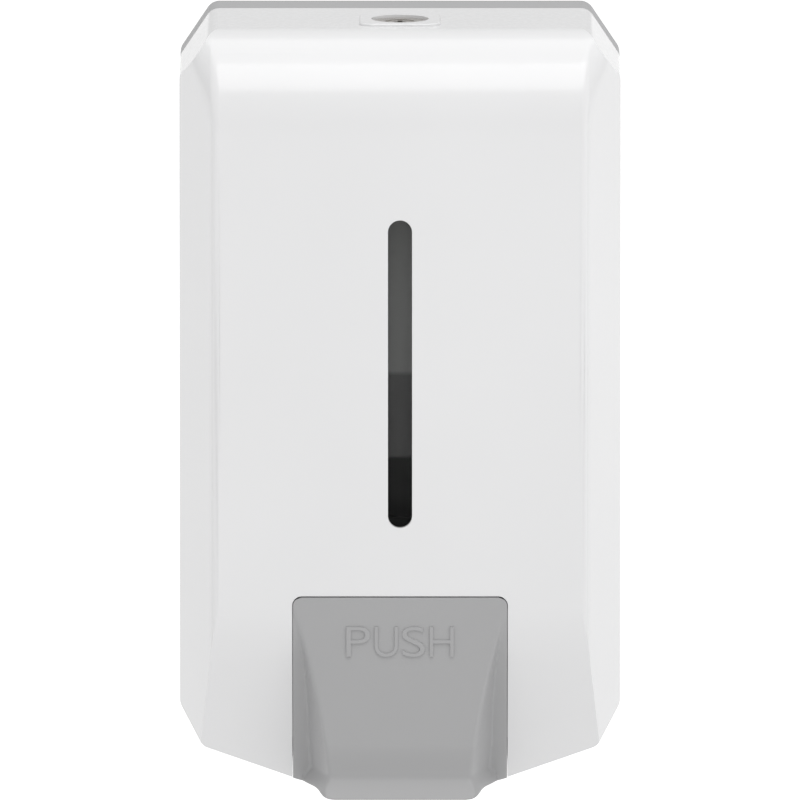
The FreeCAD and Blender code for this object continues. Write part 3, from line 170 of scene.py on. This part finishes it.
def floor_finish():
    """Matt white studio floor with painted shade near the dispenser and a painted glow far away."""
    material, parts, links, shader = blank_material("floor_paint")
    mottle = object_noise(parts, links, scale=0.7, detail=2.0)
    ramp = parts.new("ShaderNodeValToRGB")
    ramp.color_ramp.elements[0].color = MOTTLE_DARK
    ramp.color_ramp.elements[1].color = MOTTLE_LIGHT
    links.new(mottle.outputs["Fac"], ramp.inputs["Fac"])
    place = parts.new("ShaderNodeTexCoord")
    far = parts.new("ShaderNodeVectorMath")
    far.operation = "LENGTH"
    links.new(place.outputs["Object"], far.inputs[0])
    distance = far.outputs["Value"]
    # painted shade: near the middle the floor's colour is mixed to grey
    paint = colour_mix(parts, links, remap(parts, links, distance, PAINTED_SHADE_REACH, (0.0, 1.0)))
    paint.inputs["A"].default_value = NEAR_PAINTED_SHADE
    links.new(ramp.outputs["Color"], paint.inputs["B"])
    links.new(paint.outputs["Result"], shader.inputs["Base Color"])
    # painted light: the floor's glow grows with the distance from the middle
    links.new(remap(parts, links, distance, GLOW_REACH, GLOW), shader.inputs["Emission Strength"])
    shader.inputs["Emission Color"].default_value = (1.0, 1.0, 1.0, 1.0)
    shader.inputs["Roughness"].default_value = 0.8
    return material


floor.data.materials.append(floor_finish())
print("floor paint:", floor.data.materials[0].name)

# %% [markdown]
# ## The light
# Glossy white plastic shows its form only through soft changes of light. A pale dome fills everything. A
# softbox high in front draws the bright band along the upper bend. A smaller, weaker one on the right keeps
# the two side bevels from looking the same, and the widest one, above and behind, lights the top. Area
# lights were chosen because their size sets how soft the edge of a highlight is.

# %% Hang the lights
DOME_STRENGTH = 0.55


def softbox(name, place, target, size, power):
    """Square area light that points at a target."""
    data = bpy.data.lights.new(name, "AREA")
    data.shape = "SQUARE"
    data.size = size
    data.energy = power
    lamp = bpy.data.objects.new(name, data)
    bpy.context.scene.collection.objects.link(lamp)
    lamp.location = place
    lamp.rotation_euler = (Vector(target) - Vector(place)).to_track_quat("-Z", "Y").to_euler()


softbox("key_softbox", place=(0.25, -1.0, 2.25), target=(0.0, -0.05, 0.0), size=1.5, power=20.0)
softbox("side_softbox", place=(2.2, -1.2, 0.3), target=(0.0, -0.05, 0.0), size=1.2, power=3.5)
softbox("top_softbox", place=(0.0, 0.6, 2.6), target=(0.0, 0.0, 0.0), size=2.4, power=20.0)
world = bpy.data.worlds.new("pale_dome")
bpy.context.scene.world = world
world.use_nodes = True
dome = world.node_tree.nodes["Background"]
dome.inputs["Color"].default_value = (1.0, 1.0, 1.0, 1.0)
dome.inputs["Strength"].default_value = DOME_STRENGTH
bpy.context.scene.view_settings.view_transform = "Standard"

# %% [markdown]
# ## Moulded plastic
# Nearly every piece here is injection moulded. Up close such plastic isn't one flat colour: the pigment
# drifts a little, the polish of the mould wanders, and the skin has a fine grain. An image of plastic could
# give this too, but it would need a layout of its own on every piece. Noise needs none, so one function
# builds all three effects from it, and each finish sets its own colour, gloss and grain.

# %% Helpers for uneven surfaces
NOISE_SPAN = (0.3, 0.7)


def drift(parts, links, noise, limits, socket):
    """Let a value wander between two limits, led by a noise."""
    links.new(remap(parts, links, noise.outputs["Fac"], NOISE_SPAN, limits), socket)


def tint(parts, links, noise, shades, socket):
    """Let a colour wander between a dark and a light shade, led by a noise."""
    ramp = parts.new("ShaderNodeValToRGB")
    for stop, position, shade in zip(ramp.color_ramp.elements, NOISE_SPAN, shades):
        stop.position = position
        stop.color = (*shade, 1.0)
    links.new(noise.outputs["Fac"], ramp.inputs["Fac"])
    links.new(ramp.outputs["Color"], socket)


def grain(parts, links, noise, depth, shader):
    """Fine surface relief of a given depth."""
    bump = parts.new("ShaderNodeBump")
    bump.inputs["Strength"].default_value = 1.0
    bump.inputs["Distance"].default_value = depth
    links.new(noise.outputs["Fac"], bump.inputs["Height"])
    links.new(bump.outputs["Normal"], shader.inputs["Normal"])


def moulded(name, shades, gloss, grain_scale, grain_depth):
    """Injection moulded plastic: shades are dark and light, gloss is a pair of roughness limits."""
    material, parts, links, shader = blank_material(name)
    pigment = object_noise(parts, links, scale=9.0, detail=3.0)
    skin = object_noise(parts, links, scale=grain_scale, detail=4.0)
    tint(parts, links, pigment, shades, shader.inputs["Base Color"])
    drift(parts, links, skin, gloss, shader.inputs["Roughness"])
    grain(parts, links, skin, grain_depth, shader)
    return material


print("noise is used between", NOISE_SPAN)

# %% Mix the plastics
white_gloss = moulded("white_gloss", [(0.80, 0.80, 0.805), (0.83, 0.83, 0.835)],
                      gloss=(0.16, 0.24), grain_scale=900.0, grain_depth=0.003 * MM)
grey_satin = moulded("grey_satin", [(0.392, 0.392, 0.396), (0.412, 0.412, 0.416)],
                     gloss=(0.38, 0.50), grain_scale=2600.0, grain_depth=0.010 * MM)
inner_grey = moulded("inner_grey", [(0.16, 0.16, 0.165), (0.20, 0.20, 0.205)],
                     gloss=(0.42, 0.56), grain_scale=1800.0, grain_depth=0.012 * MM)
inner_white = moulded("inner_white", [(0.66, 0.66, 0.65), (0.72, 0.72, 0.71)],
                      gloss=(0.34, 0.46), grain_scale=1500.0, grain_depth=0.008 * MM)
seal_rubber = moulded("seal_rubber", [(0.020, 0.020, 0.021), (0.035, 0.035, 0.036)],
                      gloss=(0.55, 0.70), grain_scale=2200.0, grain_depth=0.010 * MM)
print("plastics:", [m.name for m in (white_gloss, grey_satin, inner_grey, inner_white, seal_rubber)])

# %% [markdown]
# ## Metal
# The lock's face is satin nickel and the fasteners are zinc plated. Both are metals with a brushed or
# mottled skin. Grooves could be modelled, but they are finer than a hair, so a noise does it: stretched
# along one axis, it gives the fine lines of brushing.

# %% Plate the metals
PLATE_RELIEF = 0.004 * MM
WIRE_RELIEF = 0.002 * MM


def plated(name, shades, gloss, stretch, relief):
    """Plated steel; stretch squeezes the noise along each axis and so turns it into brushing."""
    material, parts, links, shader = blank_material(name)
    place = parts.new("ShaderNodeTexCoord")
    turn = parts.new("ShaderNodeMapping")
    lines = parts.new("ShaderNodeTexNoise")
    turn.inputs["Scale"].default_value = stretch
    lines.inputs["Scale"].default_value = 1.0
    lines.inputs["Detail"].default_value = 5.0
    links.new(place.outputs["Object"], turn.inputs["Vector"])
    links.new(turn.outputs["Vector"], lines.inputs["Vector"])
    tint(parts, links, lines, shades, shader.inputs["Base Color"])
    drift(parts, links, lines, gloss, shader.inputs["Roughness"])
    grain(parts, links, lines, relief, shader)
    shader.inputs["Metallic"].default_value = 1.0
    return material


lock_nickel = plated("lock_nickel", [(0.46, 0.44, 0.42), (0.66, 0.64, 0.61)],
                     gloss=(0.22, 0.40), stretch=(400, 5000, 400), relief=PLATE_RELIEF)
zinc_plate = plated("zinc_plate", [(0.50, 0.51, 0.53), (0.66, 0.66, 0.64)],
                    gloss=(0.25, 0.42), stretch=(900, 900, 900), relief=PLATE_RELIEF)
spring_wire = plated("spring_wire", [(0.36, 0.36, 0.37), (0.52, 0.52, 0.53)],
                     gloss=(0.24, 0.36), stretch=(2500, 2500, 2500), relief=WIRE_RELIEF)
print("metals:", [m.name for m in (lock_nickel, zinc_plate, spring_wire)])

# %% [markdown]
# ## The reservoir
# The reservoir is cloudy plastic. Where soap stands behind its wall it looks darker, with a sharp level,
# and the funnel under it is painted darker still: painted shade for the deep shade under the reservoir. A
# liquid body inside would hardly show through such a wall, so the height on the piece leads the colour
# instead: two mixes, one at each level.

# %% Colour the reservoir by its filling and paint shade on its funnel
SOAP_LEVEL = 19.0 * MM
FUNNEL_SHADE_TOP = -5.0 * MM
MENISCUS = 0.7 * MM
DRY_SHADES = [(0.76, 0.77, 0.76), (0.82, 0.83, 0.82)]
WET_SHADES = [(0.33, 0.33, 0.33), (0.37, 0.37, 0.37)]
# the funnel's colour is painted shade, nearly black, for the shade under the reservoir
FUNNEL_PAINTED_SHADE = [(0.09, 0.09, 0.09), (0.12, 0.12, 0.12)]


def above(parts, links, height, level):
    """A factor that is 0 below a level and 1 above it, with a narrow soft edge."""
    return remap(parts, links, height, (level - MENISCUS, level + MENISCUS), (0.0, 1.0))


def soap_and_shade_tank():
    """Cloudy plastic that is darker below the soap's level, with painted shade that makes its funnel
    darkest.
    """
    material, parts, links, shader = blank_material("soap_and_shade_tank")
    cloud = object_noise(parts, links, scale=35.0, detail=4.0)
    place = parts.new("ShaderNodeTexCoord")
    split = parts.new("ShaderNodeSeparateXYZ")
    links.new(place.outputs["Object"], split.inputs["Vector"])
    height = split.outputs["Z"]
    tank = colour_mix(parts, links, above(parts, links, height, SOAP_LEVEL))
    tint(parts, links, cloud, WET_SHADES, tank.inputs["A"])
    tint(parts, links, cloud, DRY_SHADES, tank.inputs["B"])
    # painted shade: below the funnel's top the colour turns nearly black
    with_painted_shade = colour_mix(parts, links, above(parts, links, height, FUNNEL_SHADE_TOP))
    tint(parts, links, cloud, FUNNEL_PAINTED_SHADE, with_painted_shade.inputs["A"])
    links.new(tank.outputs["Result"], with_painted_shade.inputs["B"])
    links.new(with_painted_shade.outputs["Result"], shader.inputs["Base Color"])
    drift(parts, links, cloud, (0.30, 0.42), shader.inputs["Roughness"])
    return material


tank_plastic = soap_and_shade_tank()
print("soap level: %.1f mm" % (SOAP_LEVEL / MM))

# %% [markdown]
# ## The window
# The window is smoked plastic: the light that passes it twice shows the reservoir's bright part, the soap
# and, lowest, the funnel. Real transmission would need many more light paths to come out clean. A thin pane
# hardly bends light, so the share that passes is set as transparency.

# %% Smoke the window
SMOKE_SHARE = 0.30
SMOKE_SHADES = [(0.012, 0.012, 0.012), (0.022, 0.022, 0.022)]


def smoked_plastic():
    """Clear plastic with a smoke tint, mostly see-through."""
    material, parts, links, shader = blank_material("smoked_plastic")
    haze = object_noise(parts, links, scale=260.0, detail=3.0)
    tint(parts, links, haze, SMOKE_SHADES, shader.inputs["Base Color"])
    drift(parts, links, haze, (0.06, 0.12), shader.inputs["Roughness"])
    shader.inputs["Specular IOR Level"].default_value = 0.05
    shader.inputs["Alpha"].default_value = SMOKE_SHARE
    return material


smoked_window = smoked_plastic()
print("light that passes the window: %.0f percent" % (100.0 * (1.0 - SMOKE_SHARE)))

# %% [markdown]
# ## Dress the frame
# Each CAD piece keeps its shape and takes a finish by its name. A table from finish to pieces is easy to
# read and easy to change.

# %% Give every piece its finish
finishes = [
    (white_gloss, ["front_cover"]),
    (grey_satin, ["back_plate", "push_lever"]),
    (inner_grey, ["reservoir_bracket", "lever_fork"]),
    (inner_white, ["union_nut", "pump_body", "valve_cage", "pump_end_cap", "piston_stem", "lift_collar",
                   "window_retainer"]),
    (seal_rubber, ["lid_gasket", "neck_gasket", "piston_seal", "nozzle_valve"]),
    (lock_nickel, ["lock_barrel", "lock_plug"]),
    (zinc_plate, ["lock_nut", "lock_cam", "cam_screw", "lock_striker", "striker_screws", "hinge_pins",
                  "bracket_screws", "lever_pins", "fork_screws"]),
    (spring_wire, ["inlet_spring", "pump_spring", "inlet_ball"]),
    (tank_plastic, ["reservoir", "reservoir_lid"]),
    (smoked_window, ["sight_window"]),
]


def dress(thing, material):
    """Put one material on every face of an object."""
    thing.data.materials.clear()
    thing.data.materials.append(material)


for material, names in finishes:
    for name in names:
        dress(nodes[name], material)
undressed = set(nodes) - {name for _, names in finishes for name in names}
print("pieces without a finish:", sorted(undressed))

# %% [markdown]
# ## Working from a copy
# A CAD mesh arrives as loose triangles with sharp edges. Real moulded edges are never sharp: each has a
# small radius that catches the light. Drawing the cover anew would lose its exact form, so the mesh is
# copied, its doubled points are merged, flat areas are dissolved back into whole faces, and a small bevel
# runs along every edge that turns enough. The CAD node itself stays as it is and is only hidden.

# %% A helper that softens the edges of a copy
COPY_MERGE = 0.002 * MM
FLAT_TURN = math.radians(0.6)
SMOOTH_EXTRA = math.radians(14.0)
FLAT_WEIGHT = 100


def select_only(thing):
    """Deselect everything, then select one object and make it active."""
    bpy.ops.object.select_all(action="DESELECT")
    thing.select_set(True)
    bpy.context.view_layer.objects.active = thing


def bench_copy(node, name, radius, turn, segments):
    """Copy a CAD node's mesh, merge it, bevel the edges that turn more than a limit and smooth it."""
    piece = bpy.data.objects.new(name, nodes[node].data.copy())
    bpy.context.scene.collection.objects.link(piece)
    select_only(piece)
    bpy.ops.mesh.customdata_custom_splitnormals_clear()
    bpy.ops.object.mode_set(mode="EDIT")
    bpy.ops.mesh.select_mode(type="VERT")
    bpy.ops.mesh.select_all(action="SELECT")
    bpy.ops.mesh.remove_doubles(threshold=COPY_MERGE)
    bpy.ops.mesh.dissolve_limited(angle_limit=FLAT_TURN)
    bpy.ops.object.mode_set(mode="OBJECT")
    bevel = piece.modifiers.new("edge_radius", "BEVEL")
    bevel.limit_method = "ANGLE"
    bevel.angle_limit = turn
    bevel.width = radius
    bevel.segments = segments
    bpy.ops.object.modifier_apply(modifier=bevel.name)
    bpy.ops.object.shade_smooth_by_angle(angle=turn + SMOOTH_EXTRA)
    weighted = piece.modifiers.new("flat_faces_first", "WEIGHTED_NORMAL")
    weighted.keep_sharp = True
    weighted.weight = FLAT_WEIGHT
    bpy.ops.object.modifier_apply(modifier=weighted.name)
    print(name, "has", len(piece.data.polygons), "faces")
    return piece


print("points closer than %.3f mm are merged" % (COPY_MERGE / MM))

# %% [markdown]
# ## The white cover and the back plate
# The cover is one glossy shell, and the plate behind it is satin. Both keep the CAD form. What they lack is
# the small radius along the window slot, the lever's opening, the lock's pad and the seam between them. The
# copies get it: a little larger on the cover, which is polished, than on the plate.

# %% Soften the cover
cover_shell = bench_copy("front_cover", "cover_shell", radius=0.30 * MM, turn=math.radians(17.0), segments=3)
dress(cover_shell, white_gloss)
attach(cover_shell, "cover")
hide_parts("front_cover")
print("cover finish:", cover_shell.data.materials[0].name)

# %% Soften the back plate
wall_plate = bench_copy("back_plate", "wall_plate", radius=0.25 * MM, turn=math.radians(24.0), segments=2)
dress(wall_plate, grey_satin)
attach(wall_plate, "wall_unit")
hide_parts("back_plate")
print("plate finish:", wall_plate.data.materials[0].name)

# %% [markdown]
# ## The push lever: one face out of three surfaces
# The lever's face is a soft meeting of three surfaces: the wings, which carry on the cover's chin; the
# tongue, which comes forward to a belly and a finger lip; and the two steep flanks between them. Drawing
# that by hand with many small moves would never be smooth. So each surface is written as a depth in front
# of the wall, and a soft minimum or maximum blends them. First come the wings: they follow the cover's
# panel, its round knee and the sloping cheek below it.

# %% Write the wings
LEVER_EASE = 0.15 * MM
lever_low, lever_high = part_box("push_lever")
HALF = lever_high.x + LEVER_EASE
LEVER_TOP = lever_high.z
LEVER_FOOT = lever_low.z
PANEL = -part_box("front_cover")[0].y
KNEE_TOP = LEVER_TOP - 1.2 * MM
KNEE_R = 65.0 * MM
CHIN = math.radians(13.0)
KNEE_END = KNEE_TOP - KNEE_R * math.sin(CHIN)
CHEEK_SLOPE = 0.2975
CREASE = KNEE_END - 1.2 * MM


def wing_depth(z):
    """Depth of the cover's panel, knee and cheek at a height."""
    if z > KNEE_TOP:
        return PANEL
    if z > KNEE_END:
        return PANEL - KNEE_R + math.sqrt(KNEE_R ** 2 - (KNEE_TOP - z) ** 2)
    end = PANEL - KNEE_R * (1.0 - math.cos(CHIN))
    return end - (KNEE_END - z) * (CHEEK_SLOPE if z < CREASE else math.tan(CHIN))


print("wing: %.1f mm deep at the top, %.1f mm at the foot" % (wing_depth(LEVER_TOP) / MM,
                                                           wing_depth(LEVER_FOOT) / MM))

# %% [markdown]
# ## The tongue
# From the side the tongue is a line with four parts: the flat push face, a belly that swells towards the
# foot, a waist that steps back, and the lip that reaches out again and keeps a wet finger from slipping.

# %% Write the tongue
SWELL_TOP = LEVER_TOP - 3.0 * MM
BELLY = LEVER_FOOT + 15.6 * MM
BELLY_OUT = 5.5 * MM
SWELL_POWER = 1.35
WAIST_UP = 6.2 * MM
WAIST = LEVER_FOOT + WAIST_UP
WAIST_IN = 1.6 * MM
LIP_REACH = 4.0 * MM
LIP_POWER = 1.1


def soft_step(t):
    """Smooth ramp from 0 to 1."""
    t = min(max(t, 0.0), 1.0)
    return t * t * (3.0 - 2.0 * t)


def tongue_depth(z):
    """Depth of the tongue's middle: push face, belly, waist and lip."""
    if z > BELLY:
        down = max((SWELL_TOP - z) / (SWELL_TOP - BELLY), 0.0)
        return PANEL + BELLY_OUT * down ** SWELL_POWER
    if z > WAIST:
        return PANEL + BELLY_OUT - WAIST_IN * soft_step((BELLY - z) / (BELLY - WAIST))
    return PANEL + BELLY_OUT - WAIST_IN + LIP_REACH * ((WAIST - z) / WAIST_UP) ** LIP_POWER


print("belly %.1f mm, lip %.1f mm from the wall" % (tongue_depth(BELLY) / MM, tongue_depth(LEVER_FOOT) / MM))

# %% [markdown]
# ## The flanks
# The ridge is the line where the tongue turns over into its flank. It is wide at the top, narrows towards
# the waist and flares out again at the lip. A straight line between a few points would show as a wobble in
# the highlight, so a curve of second order leads it. Outside the ridge the flank falls steeply.

# %% Write the flanks and blend the three
RIDGE_TOP = -56.0 * MM
RIDGE_RUN = 38.0 * MM
RIDGE_HALF = 27.7 * MM
RIDGE_TAPER = 11.2 * MM
RIDGE_BEND = 3.8 * MM
FLARE = 1.9 * MM
FLARE_RUN = 4.5 * MM
FLANK_SLOPE = 3.2
SHOULDER_BLEND = 2.2 * MM
WING_BLEND = 1.3 * MM


def ridge(z):
    """Half width of the tongue along its ridge."""
    t = (RIDGE_TOP - z) / RIDGE_RUN
    flare = soft_step((RIDGE_TOP - RIDGE_RUN - z) / FLARE_RUN)
    return RIDGE_HALF - RIDGE_TAPER * t + RIDGE_BEND * t ** 2 + FLARE * flare


def flank_depth(x, z):
    """Depth of the steep flank, which falls from the ridge to the wing."""
    return tongue_depth(z) - FLANK_SLOPE * (abs(x) - ridge(z))


def soft_min(a, b, blend):
    """The smaller of two depths, rounded where they meet."""
    h = min(max(0.5 + 0.5 * (b - a) / blend, 0.0), 1.0)
    return b + (a - b) * h - blend * h * (1.0 - h)


def face_depth(x, z):
    """Depth of the lever's face at a place on it."""
    shoulder = soft_min(tongue_depth(z), flank_depth(x, z), SHOULDER_BLEND)
    return -soft_min(-wing_depth(z), -shoulder, WING_BLEND)


print("ridge: %.1f mm from the middle at the top, %.1f mm at the waist" % (ridge(RIDGE_TOP) / MM,
                                                                        ridge(WAIST) / MM))

# %% [markdown]
# ## The lever's outline
# Seen from the front the lever is a rectangle with two round upper corners. Its lower edge is a flat lip
# that turns up at both ends into the wings. A table of places along that edge, in millimetres, says where
# it runs, and straight lines join them.

# %% Write the outline
CORNER_R = 2.4 * MM
FOOT_EDGE = [(0.0, -100.6), (18.6, -100.6), (19.3, -100.5), (20.4, -100.35), (21.3, -99.97),
             (22.15, -99.5), (22.7, -98.95), (23.3, -98.5), (24.2, -98.25), (26.1, -98.3),
             (28.4, -98.2), (30.2, -97.6), (31.0, -97.5)]


def foot_height(x):
    """Height of the lever's lower edge at a place across it."""
    x = abs(x) / MM
    for (x0, z0), (x1, z1) in zip(FOOT_EDGE, FOOT_EDGE[1:]):
        if x <= x1:
            return (z0 + (z1 - z0) * (x - x0) / (x1 - x0)) * MM
    return FOOT_EDGE[-1][1] * MM


def side_limit(z):
    """Half width of the lever at a height, narrowed at its two round upper corners."""
    into = z - (LEVER_TOP - CORNER_R)
    if into <= 0.0:
        return HALF
    return HALF - CORNER_R + math.sqrt(max(CORNER_R ** 2 - into ** 2, 0.0))


print("foot: %.1f mm in the middle, %.1f mm at the side" % (foot_height(0.0) / MM, foot_height(HALF) / MM))

# %% [markdown]
# ## Shape the lever from a grid
# A sculpted block would need its thickness hollowed out afterwards. A grid needs none of that: an operator
# adds it, and its points are moved onto the face. Its border is then extruded and pushed back towards the
# wall, which makes the skirts.

# %% Make the lever's skin
COLUMNS = 121
ROWS = 78
SKIRT_BACK = -lever_high.y

bpy.ops.object.select_all(action="DESELECT")
bpy.ops.mesh.primitive_grid_add(x_subdivisions=COLUMNS, y_subdivisions=ROWS, size=2.0)
paddle = bpy.context.object
paddle.name = "paddle"
for point in paddle.data.vertices:
    across, up = point.co.x, (point.co.y + 1.0) / 2.0
    low = foot_height(across * HALF)
    z = low + (LEVER_TOP - low) * up
    x = across * side_limit(z)
    point.co = (x, -face_depth(x, z), z)
select_only(paddle)
bpy.ops.object.mode_set(mode="EDIT")
bpy.ops.mesh.select_mode(type="EDGE")
bpy.ops.mesh.select_all(action="DESELECT")
bpy.ops.mesh.select_non_manifold()
bpy.ops.mesh.extrude_region_move()
bpy.ops.object.mode_set(mode="OBJECT")
skirt = [v for v in paddle.data.vertices if v.select]
for point in skirt:
    point.co.y = -SKIRT_BACK
print("skirt points:", len(skirt))

# %% [markdown]
# ## The lever's wall
# The rim between face and skirt gets the small radius of the mould, and Solidify gives the skin its wall.
# Near the sharp lip the inner points would come out through the face, so afterwards each is kept a wall's
# thickness behind it and inside the outline.

# %% Face the skin outwards
SKIN_MERGE = 0.005 * MM

select_only(paddle)
bpy.ops.object.mode_set(mode="EDIT")
bpy.ops.mesh.select_all(action="SELECT")
bpy.ops.mesh.remove_doubles(threshold=SKIN_MERGE)
bpy.ops.mesh.normals_make_consistent(inside=False)
bpy.ops.object.mode_set(mode="OBJECT")
foremost = max(paddle.data.polygons, key=lambda face: -face.center.y)
if foremost.normal.y > 0.0:
    bpy.ops.object.mode_set(mode="EDIT")
    bpy.ops.mesh.flip_normals()
    bpy.ops.object.mode_set(mode="OBJECT")
print("skin faces:", len(paddle.data.polygons))

# %% Round the rim and thicken the skin
RIM_R = 0.45 * MM
RIM_TURN = math.radians(50.0)
WALL = 1.6 * MM
LEVER_SMOOTH = math.radians(42.0)

rim = paddle.modifiers.new("rim", "BEVEL")
rim.limit_method = "ANGLE"
rim.angle_limit = RIM_TURN
rim.width = RIM_R
rim.segments = 3
bpy.ops.object.modifier_apply(modifier=rim.name)
outer_points = len(paddle.data.vertices)
wall = paddle.modifiers.new("wall", "SOLIDIFY")
wall.thickness = WALL
wall.offset = -1.0
bpy.ops.object.modifier_apply(modifier=wall.name)
for point in paddle.data.vertices[outer_points:]:
    x, depth, z = point.co.x, -point.co.y, point.co.z
    x = min(max(x, WALL - HALF), HALF - WALL)
    z = min(max(z, foot_height(x) + WALL), LEVER_TOP - WALL)
    point.co = (x, -min(depth, face_depth(x, z) - WALL), z)
bpy.ops.object.shade_smooth_by_angle(angle=LEVER_SMOOTH)
dress(paddle, grey_satin)
print("lever faces:", len(paddle.data.polygons))

# %% [markdown]
# ## The word on the lever
# Every dispenser of this kind says what to do. The four letters stand less than half a millimetre proud of
# the face. A bump in the finish would leave the face's shape flat, so they are real: each starts as a
# text curve, becomes a mesh and is fitted to its own box. Its points are then laid onto the face's own
# depth, so that the letters follow its curve. The font's own strokes are a little too bold, so a negative
# offset slims them first; the three font values are in the font's units, where a line is 1 high.

# %% Set the letters' sizes
LETTER_BOXES = [("P", -15.2, -8.5), ("U", -7.2, -0.6), ("S", 0.6, 7.0), ("H", 8.4, 15.2)]
WORD_LOW = LEVER_TOP - 16.7 * MM
WORD_HIGH = LEVER_TOP - 8.3 * MM
LETTER_RISE = 0.42 * MM
LETTER_SINK = 0.25 * MM
LETTER_MERGE = 0.002 * MM
LETTER_SMOOTH = math.radians(35.0)
FONT_DEPTH = 0.03
FONT_SLIMMING = -0.012
FONT_BEVEL = 0.004
print("letters: %.1f mm high" % ((WORD_HIGH - WORD_LOW) / MM))


# %% Raise the letters
def span(values):
    """Lowest and highest of some numbers."""
    values = list(values)
    return min(values), max(values)


def fitted(value, limits, low, high):
    """Move a value from its old limits to new ones."""
    return low + (value - limits[0]) / (limits[1] - limits[0]) * (high - low)


def raised_letter(letter, low_x, high_x):
    """One letter as a closed mesh that stands proud of the lever's face."""
    bpy.ops.object.select_all(action="DESELECT")
    bpy.ops.object.text_add()
    piece = bpy.context.object
    piece.name = "letter_" + letter.lower()
    piece.data.body = letter
    piece.data.extrude = FONT_DEPTH
    piece.data.offset = FONT_SLIMMING
    piece.data.bevel_depth = FONT_BEVEL
    piece.data.bevel_resolution = 1
    piece.data.resolution_u = 10
    bpy.ops.object.convert(target="MESH")
    points = piece.data.vertices
    across, up, out = (span(point.co[axis] for point in points) for axis in range(3))
    for point in points:
        x = fitted(point.co.x, across, low_x, high_x)
        z = fitted(point.co.y, up, WORD_LOW, WORD_HIGH)
        rise = fitted(point.co.z, out, -LETTER_SINK, LETTER_RISE)
        point.co = (x, -(face_depth(x, z) + rise), z)
    bpy.ops.object.mode_set(mode="EDIT")
    bpy.ops.mesh.select_all(action="SELECT")
    bpy.ops.mesh.remove_doubles(threshold=LETTER_MERGE)
    bpy.ops.mesh.normals_make_consistent(inside=False)
    bpy.ops.object.mode_set(mode="OBJECT")
    bpy.ops.object.shade_smooth_by_angle(angle=LETTER_SMOOTH)
    dress(piece, grey_satin)
    return piece


letters = [raised_letter(letter, a * MM, b * MM) for letter, a, b in LETTER_BOXES]
print("letter faces:", [len(piece.data.polygons) for piece in letters])

# %% [markdown]
# ## Hang the lever on its body
# The new lever and its letters have to move with the CAD lever when it is pressed, so they ride on the same
# body, and the CAD lever is hidden behind its replacement.

# %% Let the lever ride
for piece in [paddle] + letters:
    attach(piece, "push_lever")
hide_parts("push_lever")
print("on the lever's body:", [piece.name for piece in [paddle] + letters])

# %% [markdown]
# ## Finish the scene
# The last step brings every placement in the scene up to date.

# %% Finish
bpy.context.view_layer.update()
